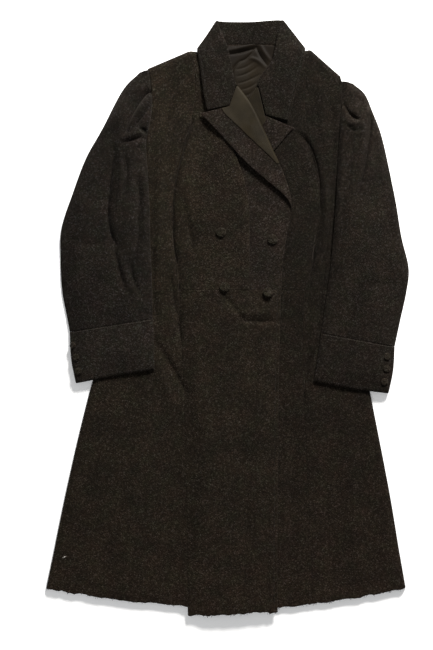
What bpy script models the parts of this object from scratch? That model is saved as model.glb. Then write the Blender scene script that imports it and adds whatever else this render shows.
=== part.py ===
"""Frock coat laid flat on its back, face up, collar towards +Y.

Left and right are the wearer's own. The wearer's right front lies on top, so it is
seen at the viewer's left. All sizes are millimetres until a mesh is made. Every cloth
piece is an open surface with a thickness, laid on the heap of pieces below it.
"""
import math

import bmesh
import bpy
import numpy as np
from mathutils import Vector
from mathutils.bvhtree import BVHTree

# Driving dimensions, millimetres
MM = 0.001
WOOL = 2.0            # coat cloth with its interlining
SILK = 1.0            # facing on the lapels
LINING = 1.0          # back neck lining
AIR = 0.3             # between two pieces that touch or are sewn together
EDGE_ROLL = 8.0       # width of the rounding at a folded edge
BACK_INSET = 9.0      # the back keeps this far inside the folded edges of the fronts
FOLD_IN = 1.3         # inner radius of the fold in lapels and collar
REAR = (2.3, 4.6, 2.0)   # behind the neck: stand at the seam, stand at the roll, fall
LIP = 4.5             # width of the turned lip where a lapel runs out
COAT_BUTTON = 19.0    # 30 line
CUFF_BUTTON = 14.0    # 22 line
CELL = 4.0            # grid of the heap's height map
SPAN_X, SPAN_Y = 400.0, 620.0
SHIFT = (0.95, 1.4)    # brings the middle of the finished coat over the origin

# Right front, waist to shoulder. One row per section, each pair is x, y:
# outer edge, side seam, lapel seam (neck edge in the last two rows), front edge or
# roll line, middle and outer edge of the turned lapel, share of the lapel's turn
RIGHT_BODICE = [
    ((-209, 53), (-96, 53), (40, 53), (101, 53), (101, 53), (101, 53), 0.0),
    ((-192, 110), (-101, 110), (40, 107), (104, 107), (104, 107), (104, 107), 0.0),
    ((-171, 167), (-104, 167), (40, 160), (112, 160), (112, 160), (112, 160), 0.0),
    ((-161, 225), (-102, 222), (39, 212), (124, 213), (120, 216), (118, 217), 0.15),
    ((-160, 275), (-97, 275), (30, 262), (107, 271), (92, 263), (77, 258), 1.0),
    ((-156, 325), (-84, 325), (14, 310), (86, 315), (60, 303), (36, 293), 1.0),
    ((-149.5, 375), (-70, 380), (-2, 355), (66, 359), (33, 345), (1, 331), 1.0),
    ((-145.5, 413), (-64, 425), (-12, 405), (43, 404), (6, 386), (-33, 368), 1.0),
    ((-146, 438), (-64, 462), (-18, 450), (19, 437), (3, 401), (-52, 388), 1.0),
    ((-149, 461), (-67, 490), (-32, 485), None, None, None, None),
    ((-153, 475), (-74, 508.5), (-47.5, 505), None, None, None, None),
]
# Left front, waist to shoulder, same columns
LEFT_BODICE = [
    ((232, 53), (146, 53), (33, 53), (-32, 53), (-32, 53), (-32, 53), 0.0),
    ((226, 110), (163, 110), (34, 107), (-36, 107), (-36, 107), (-36, 107), 0.0),
    ((219, 167), (170, 167), (35, 160), (-46, 160), (-46, 160), (-46, 160), 0.0),
    ((212, 222), (176, 222), (38, 212), (-56, 212), (-53, 215), (-51, 216), 0.15),
    ((213, 272), (176, 270), (48, 262), (-38, 255), (-24, 249), (-11, 243), 1.0),
    ((211.3, 320), (160, 322), (62, 310), (-15, 303), (9, 291), (34, 280), 1.0),
    ((213.3, 370), (150, 370), (78, 355), (8, 350), (44, 332), (82, 314), 1.0),
    ((214.8, 405), (147, 415), (90, 405), (30, 395), (70, 371), (113, 349), 1.0),
    ((216, 425), (148, 450), (98, 445), (54, 436), (70, 384), (125, 361), 1.0),
    ((216.5, 446), (151, 484), (113, 484), None, None, None, None),
    ((213.5, 460), (157, 511), (131, 505), None, None, None, None),
]
# Right skirt, waist to hem: outer edge, hem bow, side seam, hem bow, front edge
RIGHT_SKIRT = [
    ((-209, 53), (-152, 53), (-96, 53), (3, 53), (101, 53)),
    ((-232, -30), (-161, -30), (-90, -30), (5, -30), (99, -30)),
    ((-258, -118), (-171, -119), (-85, -119), (6, -119), (97, -119)),
    ((-285, -225), (-183, -228), (-82, -229), (7, -229), (96, -228)),
    ((-312, -345), (-195, -351), (-79, -353), (8, -354), (95, -351)),
    ((-333, -448), (-205, -457), (-77, -461), (9, -463), (94, -458)),
    ((-347, -515), (-208, -536), (-76, -549), (9, -563), (95, -556)),
]
RIGHT_HEM_DROP = 16.5    # the front skirt hangs this much longer than the side skirt
# Left skirt, waist to hem, same columns
LEFT_SKIRT = [
    ((232, 53), (189, 53), (146, 53), (57, 53), (-32, 53)),
    ((251, -43), (196, -43), (142, -43), (54, -43), (-34, -43)),
    ((270, -136), (206, -137), (143, -137), (54, -137), (-35, -137)),
    ((289, -232), (219, -235), (148, -236), (56, -236), (-36, -236)),
    ((310, -341), (231, -347), (153, -350), (58, -352), (-37, -350)),
    ((327, -444), (243, -455), (158, -461), (60, -465), (-38, -463)),
    ((339, -514), (249, -531), (160, -544), (60, -556), (-39, -558)),
]
# Back, hem to shoulder, on the right: side edge, bow, centre seam. The side edges
# repeat the fronts' outer edges and are moved in by BACK_INSET when laid.
BACK_RIGHT = [
    ((-345, -512), (-175, -532), (-4, -541)),
    ((-332, -448), (-167, -455), (-1, -461)),
    ((-311, -345), (-154, -350), (3, -353)),
    ((-284, -225), (-139, -228), (7, -229)),
    ((-257, -118), (-124, -119), (12, -119)),
    ((-231, -30), (-108, -30), (16, -30)),
    ((-208, 53), (-94, 53), (20, 53)),
    ((-170, 167), (-73, 167), (25, 167)),
    ((-160, 275), (-63, 275), (30, 275)),
    ((-166, 375), (-60, 375), (35, 375)),
    ((-164, 432), (-58, 457), (39, 450)),
    ((-151, 469), (-22, 521), (46, 521)),
]
BACK_LEFT = [
    ((337, -511), (167, -532), (-4, -541)),
    ((326, -444), (163, -455), (-1, -461)),
    ((309, -341), (156, -350), (3, -353)),
    ((288, -232), (148, -232), (7, -229)),
    ((269, -136), (140, -136), (12, -119)),
    ((250, -43), (133, -43), (16, -30)),
    ((231, 53), (126, 53), (20, 53)),
    ((218, 167), (122, 167), (25, 167)),
    ((211, 272), (120, 275), (30, 275)),
    ((228, 370), (126, 372), (35, 375)),
    ((232, 418), (126, 454), (39, 450)),
    ((210, 460), (114, 521), (46, 521)),
]
# Sleeves, shoulder to cuff seam: outer edge, middle, inner edge, seat
# (0 level with the front beside the armhole, 1 on top of the body)
RIGHT_SLEEVE = [
    ((-168.5, 467), (-160, 470), (-150.5, 471), 0.0),
    ((-201, 434), (-172, 432), (-145, 425), 0.0),
    ((-238, 363), (-193, 374), (-148, 382), 0.3),
    ((-271, 304), (-212, 319), (-155, 330), 1.0),
    ((-296, 238), (-223, 253), (-151, 265), 1.0),
    ((-318, 170), (-233, 188), (-148, 205), 1.0),
    ((-320, 110), (-233, 130), (-147, 150), 1.0),
    ((-317, 52), (-231, 66), (-144, 80), 1.0),
    ((-308, 4), (-225, 20), (-143, 32), 1.0),
    ((-302, -26), (-226, -14), (-142, -1), 1.0),
]
LEFT_SLEEVE = [
    ((238, 446), (227, 449), (215.6, 451), 0.0),
    ((261, 427), (238, 420), (215.7, 412), 0.0),
    ((276, 392), (244, 379), (212.6, 366), 0.5),
    ((292, 350), (251, 336), (210, 322), 1.0),
    ((306, 293), (256, 283), (207, 272), 1.0),
    ((320, 223), (262, 220), (204, 216), 1.0),
    ((331, 155), (265, 156), (199, 154), 1.0),
    ((345, 95), (269, 98), (194, 98), 1.0),
    ((341, 50), (264, 48), (187, 45), 1.0),
    ((330, 0), (255, 3), (181, 5), 1.0),
    ((318, -54), (246, -41), (176, -28), 1.0),
]
# Cuffs, seam to lower edge: outer edge, middle, inner edge
RIGHT_CUFF = [
    ((-302, -27), (-226, -15), (-142, -2)),
    ((-299, -78), (-219, -62), (-140, -52)),
    ((-290, -125), (-215, -111), (-139, -99)),
]
LEFT_CUFF = [
    ((318, -55), (246, -42), (176, -29)),
    ((315, -100), (240, -88), (169, -77)),
    ((306, -144), (236, -136), (162, -121)),
]
# Collar, front end on the right over the back to the front end on the left:
# neck seam, roll, middle and edge of the fall, and the turn of the section in
# degrees (-90 the fall lies behind the stand, 0 edge on, 90 it lies in front)
COLLAR = [
    ((8, 443), (17.5, 439.5), (-0.5, 402.5), (-39, 395), 90),
    ((-2, 449), (15, 447), (-12, 421), (-42, 406), 90),
    ((-14, 458), (11, 460), (-17, 442), (-46, 426), 90),
    ((-23, 474), (6, 486), (-23, 467), (-50, 452), 90),
    ((-30, 491), (-2, 519), (-29, 494), (-53, 475), 90),
    ((-37, 505), (-10, 537), (-34, 517), (-56, 497), 85),
    ((-42, 512), (-19, 560), (-39, 535), (-56, 511), 0),
    ((-24, 519), (-15, 562), (-28, 536), (-42, 509), -85),
    ((4, 521), (2, 562), (-3, 536), (-9, 507), -90),
    ((46, 521), (44, 562), (45, 536), (46, 507), -90),
    ((88, 521), (84, 562), (90, 536), (97, 507), -90),
    ((108, 519), (98, 562), (112, 536), (127, 509), -85),
    ((125, 512), (101, 560), (123, 535), (141, 511), 0),
    ((121, 504), (94, 537), (121, 516), (143, 499), 85),
    ((114, 492), (89, 511), (116, 492), (138, 477), 90),
    ((107, 479), (84, 491), (110, 468), (134, 458), 90),
    ((100, 467), (73, 474), (102, 443), (128, 430), 90),
    ((88, 455), (61, 457), (92, 418), (121, 402), 90),
    ((67, 441), (55, 440), (72, 386), (114, 375), 90),
]
# Back neck lining, neck seam down: side, middle, side
NECK_LINING = [
    ((-20, 515), (46, 520.3), (109, 515)),
    ((-22, 478), (46, 478), (108, 478)),
    ((-10, 440), (45, 440), (94, 440)),
    ((8, 396), (42, 390), (74, 396)),
]
# How far the silk reaches over the turned lapel: row of the bodice table, share
SILK_REACH_RIGHT = [(4.5, 0.03), (5.0, 0.17), (5.5, 0.32), (6.0, 0.44), (6.5, 0.53),
                    (7.0, 0.60), (7.5, 0.63), (8.0, 0.64)]
SILK_REACH_LEFT = [(4.5, 0.03), (5.0, 0.18), (5.5, 0.32), (6.0, 0.42), (6.5, 0.48),
                   (7.0, 0.50), (7.5, 0.50), (8.0, 0.49)]
# Folds: start x, y, end x, y, half width, height (less than 0 is a trough)
SLEEVE_FOLDS = [
    (-150, 432, -195, 357, 13, -1.8), (-203, 335, -211, 190, 14, -2.2),
    (-184, 295, -179, 150, 12, -1.6), (-153, 310, -147, 40, 9, 1.0),
    (-262, 270, -285, 120, 18, 1.2), (-232, 90, -225, 20, 16, -1.0),
    (226, 392, 262, 378, 9, -1.6), (270, 360, 245, 232, 12, -2.0),
    (243, 357, 248, 325, 9, -1.2), (222, 350, 214, 210, 9, -1.6),
    (300, 250, 318, 120, 18, 1.2), (240, 120, 232, 20, 16, -1.0),
]
FRONT_FOLDS = [
    (-65, 374, -104, 170, 12, -0.6), (-125, 330, -132, 90, 16, 1.4),
    (-80, 250, -74, 40, 14, 1.0), (-97, 40, -84, -120, 10, -0.5),
    (20, 2, 103, 1, 12, -0.7), (-12, 52, 28, 0, 10, -0.5),
    (172, 285, 146, 60, 12, -0.6), (190, 250, 184, 60, 12, 1.2),
    (-60, -150, -60, -520, 30, 0.8), (-210, -200, -240, -500, 36, 1.0),
    (220, -200, 245, -480, 34, 1.0),
]
# Buttons: name, x, y
COAT_BUTTONS = [("button_right_upper", -13, 163), ("button_left_upper", 85, 149),
                ("button_right_lower", -6, 59), ("button_left_lower", 76, 48)]
CUFF_BUTTONS = [("cuff_button_right_1", -294, -52), ("cuff_button_right_2", -288, -75),
                ("cuff_button_right_3", -284, -101), ("cuff_button_left_1", 302, -73),
                ("cuff_button_left_2", 301, -96), ("cuff_button_left_3", 297, -121)]

for old in list(bpy.data.objects):
    bpy.data.objects.remove(old, do_unlink=True)
coat = bpy.data.collections.new("frock_coat")
bpy.context.scene.collection.children.link(coat)


def material(name, rgb, rough):
    """One Principled material."""
    m = bpy.data.materials.new(name)
    m.use_nodes = True
    shader = m.node_tree.nodes["Principled BSDF"]
    shader.inputs["Base Color"].default_value = (*rgb, 1.0)
    shader.inputs["Roughness"].default_value = rough
    return m


WOOL_LOOK = ("wool", (0.019, 0.015, 0.011), 0.95)
SILK_LOOK = ("silk", (0.038, 0.027, 0.019), 0.55)
LINING_LOOK = ("lining", (0.027, 0.021, 0.014), 0.5)
BUTTON_LOOK = ("covered_button", (0.030, 0.025, 0.016), 0.9)


def metres(p):
    """A point of the tables in the coat's own frame, in metres."""
    return ((float(p[0]) + SHIFT[0]) * MM, (float(p[1]) + SHIFT[1]) * MM, float(p[2]) * MM)


def smooth_rows(points, k):
    """Catmull-Rom through the points, k steps a gap."""
    p = np.array(points, float)
    ext = np.vstack([2 * p[0] - p[1], p, 2 * p[-1] - p[-2]])
    out = []
    for i in range(len(p) - 1):
        a, b, c, d = ext[i:i + 4]
        for j in range(k):
            t = j / k
            out.append(0.5 * (2 * b + (c - a) * t + (2 * a - 5 * b + 4 * c - d) * t * t
                              + (3 * b - a - 3 * c + d) * t ** 3))
    out.append(p[-1])
    return np.array(out)


def column(table, index, k, rows=None):
    """One column of a table as a smooth line."""
    return smooth_rows([row[index] for row in table[:rows]], k)


def ease(q):
    """Quarter round, 0 at the edge and 1 inside."""
    q = np.clip(q, 0.0, 1.0)
    return np.sqrt(1.0 - (1.0 - q) ** 2)


class Heap:
    """Heights of all that lies below, on an even grid."""

    def __init__(self):
        self.nx, self.ny = int(2 * SPAN_X / CELL), int(2 * SPAN_Y / CELL)
        self.top = np.zeros((self.nx, self.ny))

    def copy(self):
        other = Heap()
        other.top = self.top.copy()
        return other

    def add(self, lower, upper):
        """Mark a grid of points: the higher of both faces counts."""
        for p in (lower, upper):
            n = 6
            for a in range(n):
                for b in range(n):
                    u, v = (a + 0.5) / n, (b + 0.5) / n
                    q = ((1 - u) * (1 - v) * p[:-1, :-1] + u * (1 - v) * p[1:, :-1]
                         + (1 - u) * v * p[:-1, 1:] + u * v * p[1:, 1:])
                    i = ((q[..., 0] + SPAN_X) / CELL).astype(int).ravel()
                    j = ((q[..., 1] + SPAN_Y) / CELL).astype(int).ravel()
                    np.maximum.at(self.top, (i, j), q[..., 2].ravel())

    @staticmethod
    def spread(h, reach):
        """Highest value within reach."""
        n = int(math.ceil(reach / CELL))
        out = h.copy()
        for a in range(-n, n + 1):
            for b in range(-n, n + 1):
                if a * a + b * b <= (reach / CELL) ** 2:
                    out = np.maximum(out, np.roll(np.roll(h, a, 0), b, 1))
        return out

    @staticmethod
    def blur(h, reach):
        n = max(1, int(round(reach / CELL)))
        for axis in (0, 1):
            h = sum(np.roll(h, s, axis) for s in range(-n, n + 1)) / (2 * n + 1)
        return h

    def field(self, reach, soft):
        h = self.spread(self.top, reach)
        return self.blur(h, soft) if soft else h

    @staticmethod
    def read(h, p):
        fx = (p[..., 0] + SPAN_X) / CELL - 0.5
        fy = (p[..., 1] + SPAN_Y) / CELL - 0.5
        i, j = np.floor(fx).astype(int), np.floor(fy).astype(int)
        u, v = fx - i, fy - j
        return ((1 - u) * (1 - v) * h[i, j] + u * (1 - v) * h[i + 1, j]
                + (1 - u) * v * h[i, j + 1] + u * v * h[i + 1, j + 1])


def line_distance(p, line):
    """Distance in plan from each point to a polyline."""
    best = np.full(p.shape[:-1], 1e9)
    for a, b in zip(line[:-1], line[1:]):
        ab = b - a
        t = np.clip(((p - a) @ ab) / max(ab @ ab, 1e-9), 0, 1)
        best = np.minimum(best, np.linalg.norm(p - (a + t[..., None] * ab), axis=-1))
    return best


def fold_lift(p, folds):
    """Height of the folds at each point."""
    z = np.zeros(p.shape[:-1])
    for x0, y0, x1, y1, half, height in folds:
        a, ab = np.array([x0, y0], float), np.array([x1 - x0, y1 - y0], float)
        t = ((p - a) @ ab) / (ab @ ab)
        off = np.linalg.norm(p - (a + np.clip(t, 0, 1)[..., None] * ab), axis=-1)
        ends = np.clip(t, 0, 1)
        z += height * np.exp(-(off / half) ** 2) * np.sqrt(np.sin(np.pi * (0.08 + 0.84 * ends)))
    return z


def across(lines, cells):
    """Grid between lines, with so many cells between neighbours."""
    cols = []
    for a, b, n in zip(lines[:-1], lines[1:], cells):
        cols += [a + (b - a) * (i / n) for i in range(n)]
    cols.append(lines[-1])
    return np.stack(cols, axis=1)


def near_edge(grid, side, steps):
    """Extra columns or rows close to one edge of a grid, steps in mm."""
    g = {"left": grid, "right": grid[:, ::-1], "start": grid.transpose(1, 0, 2),
         "end": grid.transpose(1, 0, 2)[:, ::-1]}[side]
    first, second = g[:, 0], g[:, 1]
    length = np.linalg.norm(second - first, axis=-1, keepdims=True)
    extra = [first + (second - first) * np.minimum(s / length, 0.9 * s / steps[-1])
             for s in steps]
    g = np.concatenate([first[:, None], np.stack(extra, axis=1), g[:, 1:]], axis=1)
    return {"left": g, "right": g[:, ::-1], "start": g.transpose(1, 0, 2),
            "end": g[:, ::-1].transpose(1, 0, 2)}[side]


def pull_in(grid, side, amount):
    """Move one edge of a grid inwards."""
    g = {"left": grid, "right": grid[:, ::-1], "start": grid.transpose(1, 0, 2),
         "end": grid.transpose(1, 0, 2)[:, ::-1]}[side].copy()
    d = g[:, 1] - g[:, 0]
    d = d / np.linalg.norm(d, axis=-1, keepdims=True) * amount
    fade = 1 - np.linspace(0, 1, g.shape[1])
    g += d[:, None] * fade[None, :, None]
    return {"left": g, "right": g[:, ::-1], "start": g.transpose(1, 0, 2),
            "end": g[:, ::-1].transpose(1, 0, 2)}[side]


def outline(grid, side):
    return {"left": grid[:, 0], "right": grid[:, -1], "start": grid[0],
            "end": grid[-1]}[side]


def normals(p):
    """Unit normals of a grid of points."""
    du = np.gradient(p, axis=0)
    dv = np.gradient(p, axis=1)
    n = np.cross(dv, du)
    return n / np.maximum(np.linalg.norm(n, axis=-1, keepdims=True), 1e-9)


def cloth(name, points, thick, look, away):
    """Open surface with a thickness on the side that 'away' gives."""
    rows, cols = points.shape[:2]
    mesh = bpy.data.meshes.new(name)
    verts = [metres(p) for p in points.reshape(-1, 3)]
    faces = []
    for i in range(rows - 1):
        for j in range(cols - 1):
            a = i * cols + j
            quad = (a, a + 1, a + cols + 1, a + cols)
            faces.append(quad if away > 0 else quad[::-1])
    mesh.from_pydata(verts, [], faces)
    ob = bpy.data.objects.new(name, mesh)
    coat.objects.link(ob)
    mod = ob.modifiers.new("thickness", "SOLIDIFY")
    mod.thickness = thick * MM
    mod.offset = 1.0
    mod.use_quality_normals = True
    mod.use_even_offset = False
    mesh.materials.append(material(name + "_" + look[0], look[1], look[2]))
    for poly in mesh.polygons:
        poly.use_smooth = True
    return ob


def faces_up(points):
    """Sign that makes the face normals of a grid point upwards."""
    a = points[0, 0, :2] - points[-1, 0, :2]
    b = points[0, -1, :2] - points[0, 0, :2]
    c = points[-1, -1, :2] - points[-1, 0, :2]
    b = b + c
    return 1 if (b[0] * -a[1] + b[1] * a[0]) > 0 else -1


def lay(name, grid, heap, reach=24.0, soft=16.0, thick=WOOL, look=WOOL_LOOK, rolled=(),
        seams=(), inset=0.0, folds=(), puff=0.0, seat=None, beside=None, low=True):
    """Lay a flat grid on the heap and make it a cloth."""
    for side in seams:
        grid = pull_in(grid, side, AIR / 2)
    for side in rolled:
        grid = pull_in(grid, side, inset if inset else thick)
    if not inset:
        for side in rolled:
            grid = near_edge(grid, side, (1.2, 3.8, EDGE_ROLL))
    field = heap.field(reach, soft)
    z = Heap.read(field, grid)
    z = z + AIR * np.clip(z / 0.5, 0, 1)
    if seat is not None:
        other = Heap.read(beside.field(reach, soft), grid)
        other = other + AIR
        s = np.interp(np.linspace(0, 1, grid.shape[0]),
                      np.linspace(0, 1, len(seat)), seat)[:, None]
        z = np.maximum(other, other * (1 - s) + z * s)
    if len(rolled) and not inset:
        d = np.min([line_distance(grid, outline(grid, s)) for s in rolled], axis=0)
        k = ease(d / EDGE_ROLL)
        edge = Heap.read(heap.field(5.0, 0.0), grid)
        edge = np.minimum(z, edge + AIR)
        lift = fold_lift(grid, folds) + puff * np.clip(d / 30.0, 0, 1) ** 0.7
        z = edge + (z - edge) * k + np.maximum(lift, 0.02 - 0.0 * z) * k
    elif len(folds) or puff:
        z = z + np.maximum(fold_lift(grid, folds) + puff, 0.0)
    points = np.concatenate([grid, z[..., None]], axis=-1)
    sign = faces_up(points)
    cloth(name, points, thick, look, sign)
    upper = points + np.array([0, 0, thick])
    return points, upper


def folded(name, sections, unders, overs, cells, rear=None):
    """A strip folded along its roll. Its surface is the inner side of the fold.
    unders holds the height map below each section's stand, overs the heap below its fall."""
    n_stand, n_loop, n_fall = cells
    r = FOLD_IN
    bases = []
    for (neck, roll, mid, edge, turn, share), under in zip(sections, unders):
        b = (roll - neck) / np.linalg.norm(roll - neck)
        up, side = math.sin(math.radians(turn)), math.cos(math.radians(turn))
        out = (edge - roll) - b * ((edge - roll) @ b)
        out = out / max(np.linalg.norm(out), 1e-6)
        w = np.array([out[0] * side, out[1] * side, up])
        centre = roll - b * ((1 - share) * LIP + share * (r + WOOL))
        z_neck = Heap.read(under, neck[None])[0] + AIR + WOOL
        z_roll = Heap.read(under, centre[None])[0] + AIR + WOOL
        if rear is not None:
            k = 0.5 - 0.5 * up
            z_neck = z_neck * (1 - k) + rear[0] * k
            z_roll = z_roll * (1 - k) + rear[1] * k
        bases.append((np.array([neck[0], neck[1], z_neck]),
                      np.array([centre[0], centre[1], z_roll]), np.array([b[0], b[1], 0.0]), w))
    stand = np.array([[n3 + (s3 - n3) * t for t in np.linspace(0, 1, 4)]
                      for n3, s3, b3, w in bases])
    fields = {}
    for below in overs:
        if id(below) not in fields:
            own = below.copy()
            own.add(stand, stand)
            fields[id(below)] = own.field(20.0, 10.0)
    rows = []
    for (neck, roll, mid, edge, turn, share), (n3, s3, b3, w), below in zip(sections, bases, overs):
        over = fields[id(below)]
        row = [n3 + (s3 - n3) * (j / n_stand) for j in range(n_stand)]
        up = w[2]
        if share > 0.99:
            c3 = s3 + w * r
            row += [c3 - w * r * math.cos(math.pi * j / n_loop)
                    + b3 * r * math.sin(math.pi * j / n_loop) for j in range(n_loop)]
            top = c3 + w * r
            for j in range(n_fall + 1):
                t = 2 * j / n_fall
                q = top[:2] + (mid - top[:2]) * t if t <= 1 else mid + (edge - mid) * (t - 1)
                z_heap = Heap.read(over, q[None])[0] + AIR
                if rear is not None and up < 0.9:
                    z_end = rear[2] * (0.5 - 0.5 * up) + z_heap * (0.5 + 0.5 * up)
                    z = top[2] + (z_end - top[2]) * min(1.0, t / 2)
                else:
                    s = min(1.0, t * 0.8)
                    s = s * s * (3 - 2 * s)
                    z = max(z_heap, top[2] * (1 - s) + z_heap * s) if j else top[2]
                row.append(np.array([q[0], q[1], z]))
        else:
            p = s3.copy()
            row.append(p.copy())
            bend = max(math.pi * r * share, LIP - 2.5) / n_loop
            for j in range(n_loop + n_fall):
                ang = share * math.pi * min(1.0, (j + 0.5) / n_loop)
                step = bend if j < n_loop else 2.5 / n_fall
                p = p + (b3 * math.cos(ang) + np.array([0, 0, math.sin(ang)])) * step
                row.append(p.copy())
        rows.append(row)
    points = np.array(rows)
    cloth(name, points, WOOL, WOOL_LOOK, -faces_up(points[:, :n_stand + 1]))
    return points


def button(name, x, y, across_mm, segments):
    """Covered button, flat back and low dome, seated square on the cloth below it."""
    rad = across_mm / 2
    ring = [(math.cos(a), math.sin(a)) for a in np.arange(8) * math.pi / 4]
    spots = [(0.0, 0.0)] + ring + [(0.6 * c, 0.6 * d) for c, d in ring]
    heights = [drop(x + rad * c, y + rad * d) for c, d in spots]
    slope = np.linalg.lstsq(np.array([(c * rad, d * rad, 1.0) for c, d in spots]),
                            np.array(heights), rcond=None)[0][:2]
    normal = np.array([-slope[0], -slope[1], 1.0])
    normal /= np.linalg.norm(normal)
    level = max(h - rad * (c * slope[0] + d * slope[1]) for (c, d), h in zip(spots, heights))
    seat = np.array([x, y, level + AIR / normal[2]])
    ux = np.array([normal[2], 0.0, -normal[0]])
    ux /= np.linalg.norm(ux)
    uy = np.cross(normal, ux)
    profile = [(0.70, 0.0), (0.97, 0.10), (0.98, 0.30), (0.76, 0.46), (0.38, 0.55)]
    if segments < 20:
        profile = [(0.75, 0.0), (1.0, 0.20), (0.86, 0.42), (0.45, 0.54)]
    bm = bmesh.new()
    rings = []
    for f, h in profile:
        rings.append([])
        for i in range(segments):
            a = 2 * math.pi * i / segments
            p = seat + rad * f * (ux * math.cos(a) + uy * math.sin(a)) + normal * h * rad * 0.62
            rings[-1].append(bm.verts.new(metres(p)))
    for low, high in zip(rings[:-1], rings[1:]):
        for i in range(segments):
            j = (i + 1) % segments
            bm.faces.new((low[i], low[j], high[j], high[i]))
    bm.faces.new(rings[0][::-1])
    tip = bm.verts.new(metres(seat + normal * 0.58 * rad * 0.62))
    for i in range(segments):
        bm.faces.new((rings[-1][i], rings[-1][(i + 1) % segments], tip))
    mesh = bpy.data.meshes.new(name)
    bm.to_mesh(mesh)
    bm.free()
    for poly in mesh.polygons:
        poly.use_smooth = True
    mesh.materials.append(material(name + "_" + BUTTON_LOOK[0], BUTTON_LOOK[1], BUTTON_LOOK[2]))
    coat.objects.link(bpy.data.objects.new(name, mesh))


def fold_sections(table, k):
    """Sections of a lapel from the bodice table."""
    rows = [r for r in table if r[3] is not None]
    cols = [column(rows, i, k) for i in (2, 3, 4, 5)]
    # the seam follows the whole table, so that it meets the forepart
    cols[0] = column(table, 2, k)[:len(cols[1])]
    share = np.interp(np.arange(len(cols[1])) / k, np.arange(len(rows)), [r[6] for r in rows])
    return [(cols[0][i], cols[1][i], cols[2][i], cols[3][i], 90.0, share[i])
            for i in range(len(cols[1]))]


def silk_on(name, lapel, side, reach, cells, n_cols=4):
    """Facing made from the turned part of a lapel, moved out."""
    n_stand, n_loop, n_fall = cells
    outer = lapel + normals(lapel) * side * (WOOL + AIR + 0.2)
    first = n_stand + n_loop // 2
    start = n_stand + n_loop
    out = []
    for row, far in reach:
        line = outer[int(round(row * K))]
        picks = list(range(first, start)) + [start + far * n_fall * j / n_cols
                                             for j in range(n_cols + 1)]
        out.append([line[int(q)] * (1 - q + int(q)) + line[min(int(q) + 1, len(line) - 1)]
                    * (q - int(q)) for q in picks])
    points = np.array(out)
    cloth(name, points, SILK, SILK_LOOK, faces_up(points[:, 3:]))
    return points


heap = Heap()
K = 2

# Collar first, for the heap: the fall behind the neck lies on the floor
rear_grid = across([np.array([(-46.0, 509), (-9, 507), (46, 507), (97, 507), (131, 509)]),
                    np.array([(-18.0, 560), (2, 560), (46, 560), (84, 560), (100, 560)])], [6])
rear3 = np.concatenate([rear_grid, np.full(rear_grid.shape[:2] + (1,), WOOL)], axis=-1)
heap.add(rear3, rear3)

# Back
for name, table, sides in (("back_right", BACK_RIGHT, ("left",)), ("back_left", BACK_LEFT, ("left",))):
    lines = [column(table, i, 2) for i in range(3)]
    grid = across(lines, [3, 3])
    grid = pull_in(grid, "left", BACK_INSET)
    grid = pull_in(grid, "start", BACK_INSET)
    top = grid[-1]
    slope = np.interp(np.abs(top[:, 0] - 46), [50, 62, 200], [0.5, BACK_INSET, BACK_INSET])
    grid[-1, :, 1] = np.minimum(grid[-1, :, 1] - slope, 520.5)
    p, u = lay(name, grid, heap, reach=36.0, soft=16.0, seams=("right",))
    if name == "back_right":
        back = [(p, u)]
    else:
        back.append((p, u))
for p, u in back:
    heap.add(p, u)

# Neck lining
lines = [column(NECK_LINING, i, 3) for i in range(3)]
grid = across(lines, [4, 4])
p, u = lay("neck_lining", grid, heap, reach=20.0, soft=12.0, thick=LINING, look=LINING_LOOK,
           folds=[(-5, 508, 60, 512, 10, 1.6), (0, 470, 66, 462, 9, 0.9),
                  (14, 440, 62, 436, 7, 0.7)])
lining = (p, u)
heap.add(p, u)


def front(side, bodice, skirt, drop):
    """Lay all pieces of one front from the same heap, then add them to it."""
    global heap
    before = heap.copy()
    made = []
    out = column(bodice, 0, K)
    seam = column(bodice, 1, K)
    neck = column(bodice, 2, K)
    arm = 4 * K
    side_grid = across([out, seam], [4])
    side_grid = pull_in(side_grid, "start", AIR / 2)
    made.append(lay_panel("side_front_" + side, side_grid, before, roll_left_to=arm,
                          roll_top=True, folds=FRONT_FOLDS, puff=0.8))
    fore_grid = across([seam, neck], [6])
    fore_grid = pull_in(fore_grid, "start", AIR / 2)
    made.append(lay_panel("forepart_" + side, fore_grid, before, roll_top=True,
                          both_seams=True, folds=FRONT_FOLDS, puff=0.8))
    cols = [column(skirt, i, K) for i in range(5)]
    side_skirt = across(cols[:3], [4, 4])
    side_skirt = pull_in(side_skirt, "start", AIR / 2)
    made.append(lay_panel("side_skirt_" + side, side_skirt, before, roll_left_to=99,
                          folds=FRONT_FOLDS, puff=0.8))
    middle = cols[2].copy()
    middle[-1, 1] -= drop
    front_skirt = across([middle] + cols[3:], [4, 5])
    front_skirt = pull_in(front_skirt, "start", AIR / 2)
    made.append(lay_panel("front_skirt_" + side, front_skirt, before, edge_right=True,
                          folds=FRONT_FOLDS, puff=0.8))
    for p, u in made:
        heap.add(p, u)
    sections = fold_sections(bodice, K)
    first = sections[0]
    sections[0] = tuple([q + np.array([0, AIR / 2]) for q in first[:4]]) + first[4:]
    toward = 1 if side == "right" else -1
    count = len(sections)
    sections = [(s[0] + np.array([toward * AIR * (1.5 if i < count - 4 else 5), 0.0]),) + s[1:]
                for i, s in enumerate(sections)]
    p = folded("lapel_" + side, sections, [before.field(40.0, 24.0)] * count, [heap] * count,
               LAPEL_CELLS)
    flat = heap.copy()
    flat.add(p[:, :LAPEL_CELLS[0] + 1], p[:, :LAPEL_CELLS[0] + 1])
    heap.add(p, p + normals(p) * WOOL * (1 if side == "left" else -1))
    return p, flat


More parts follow.
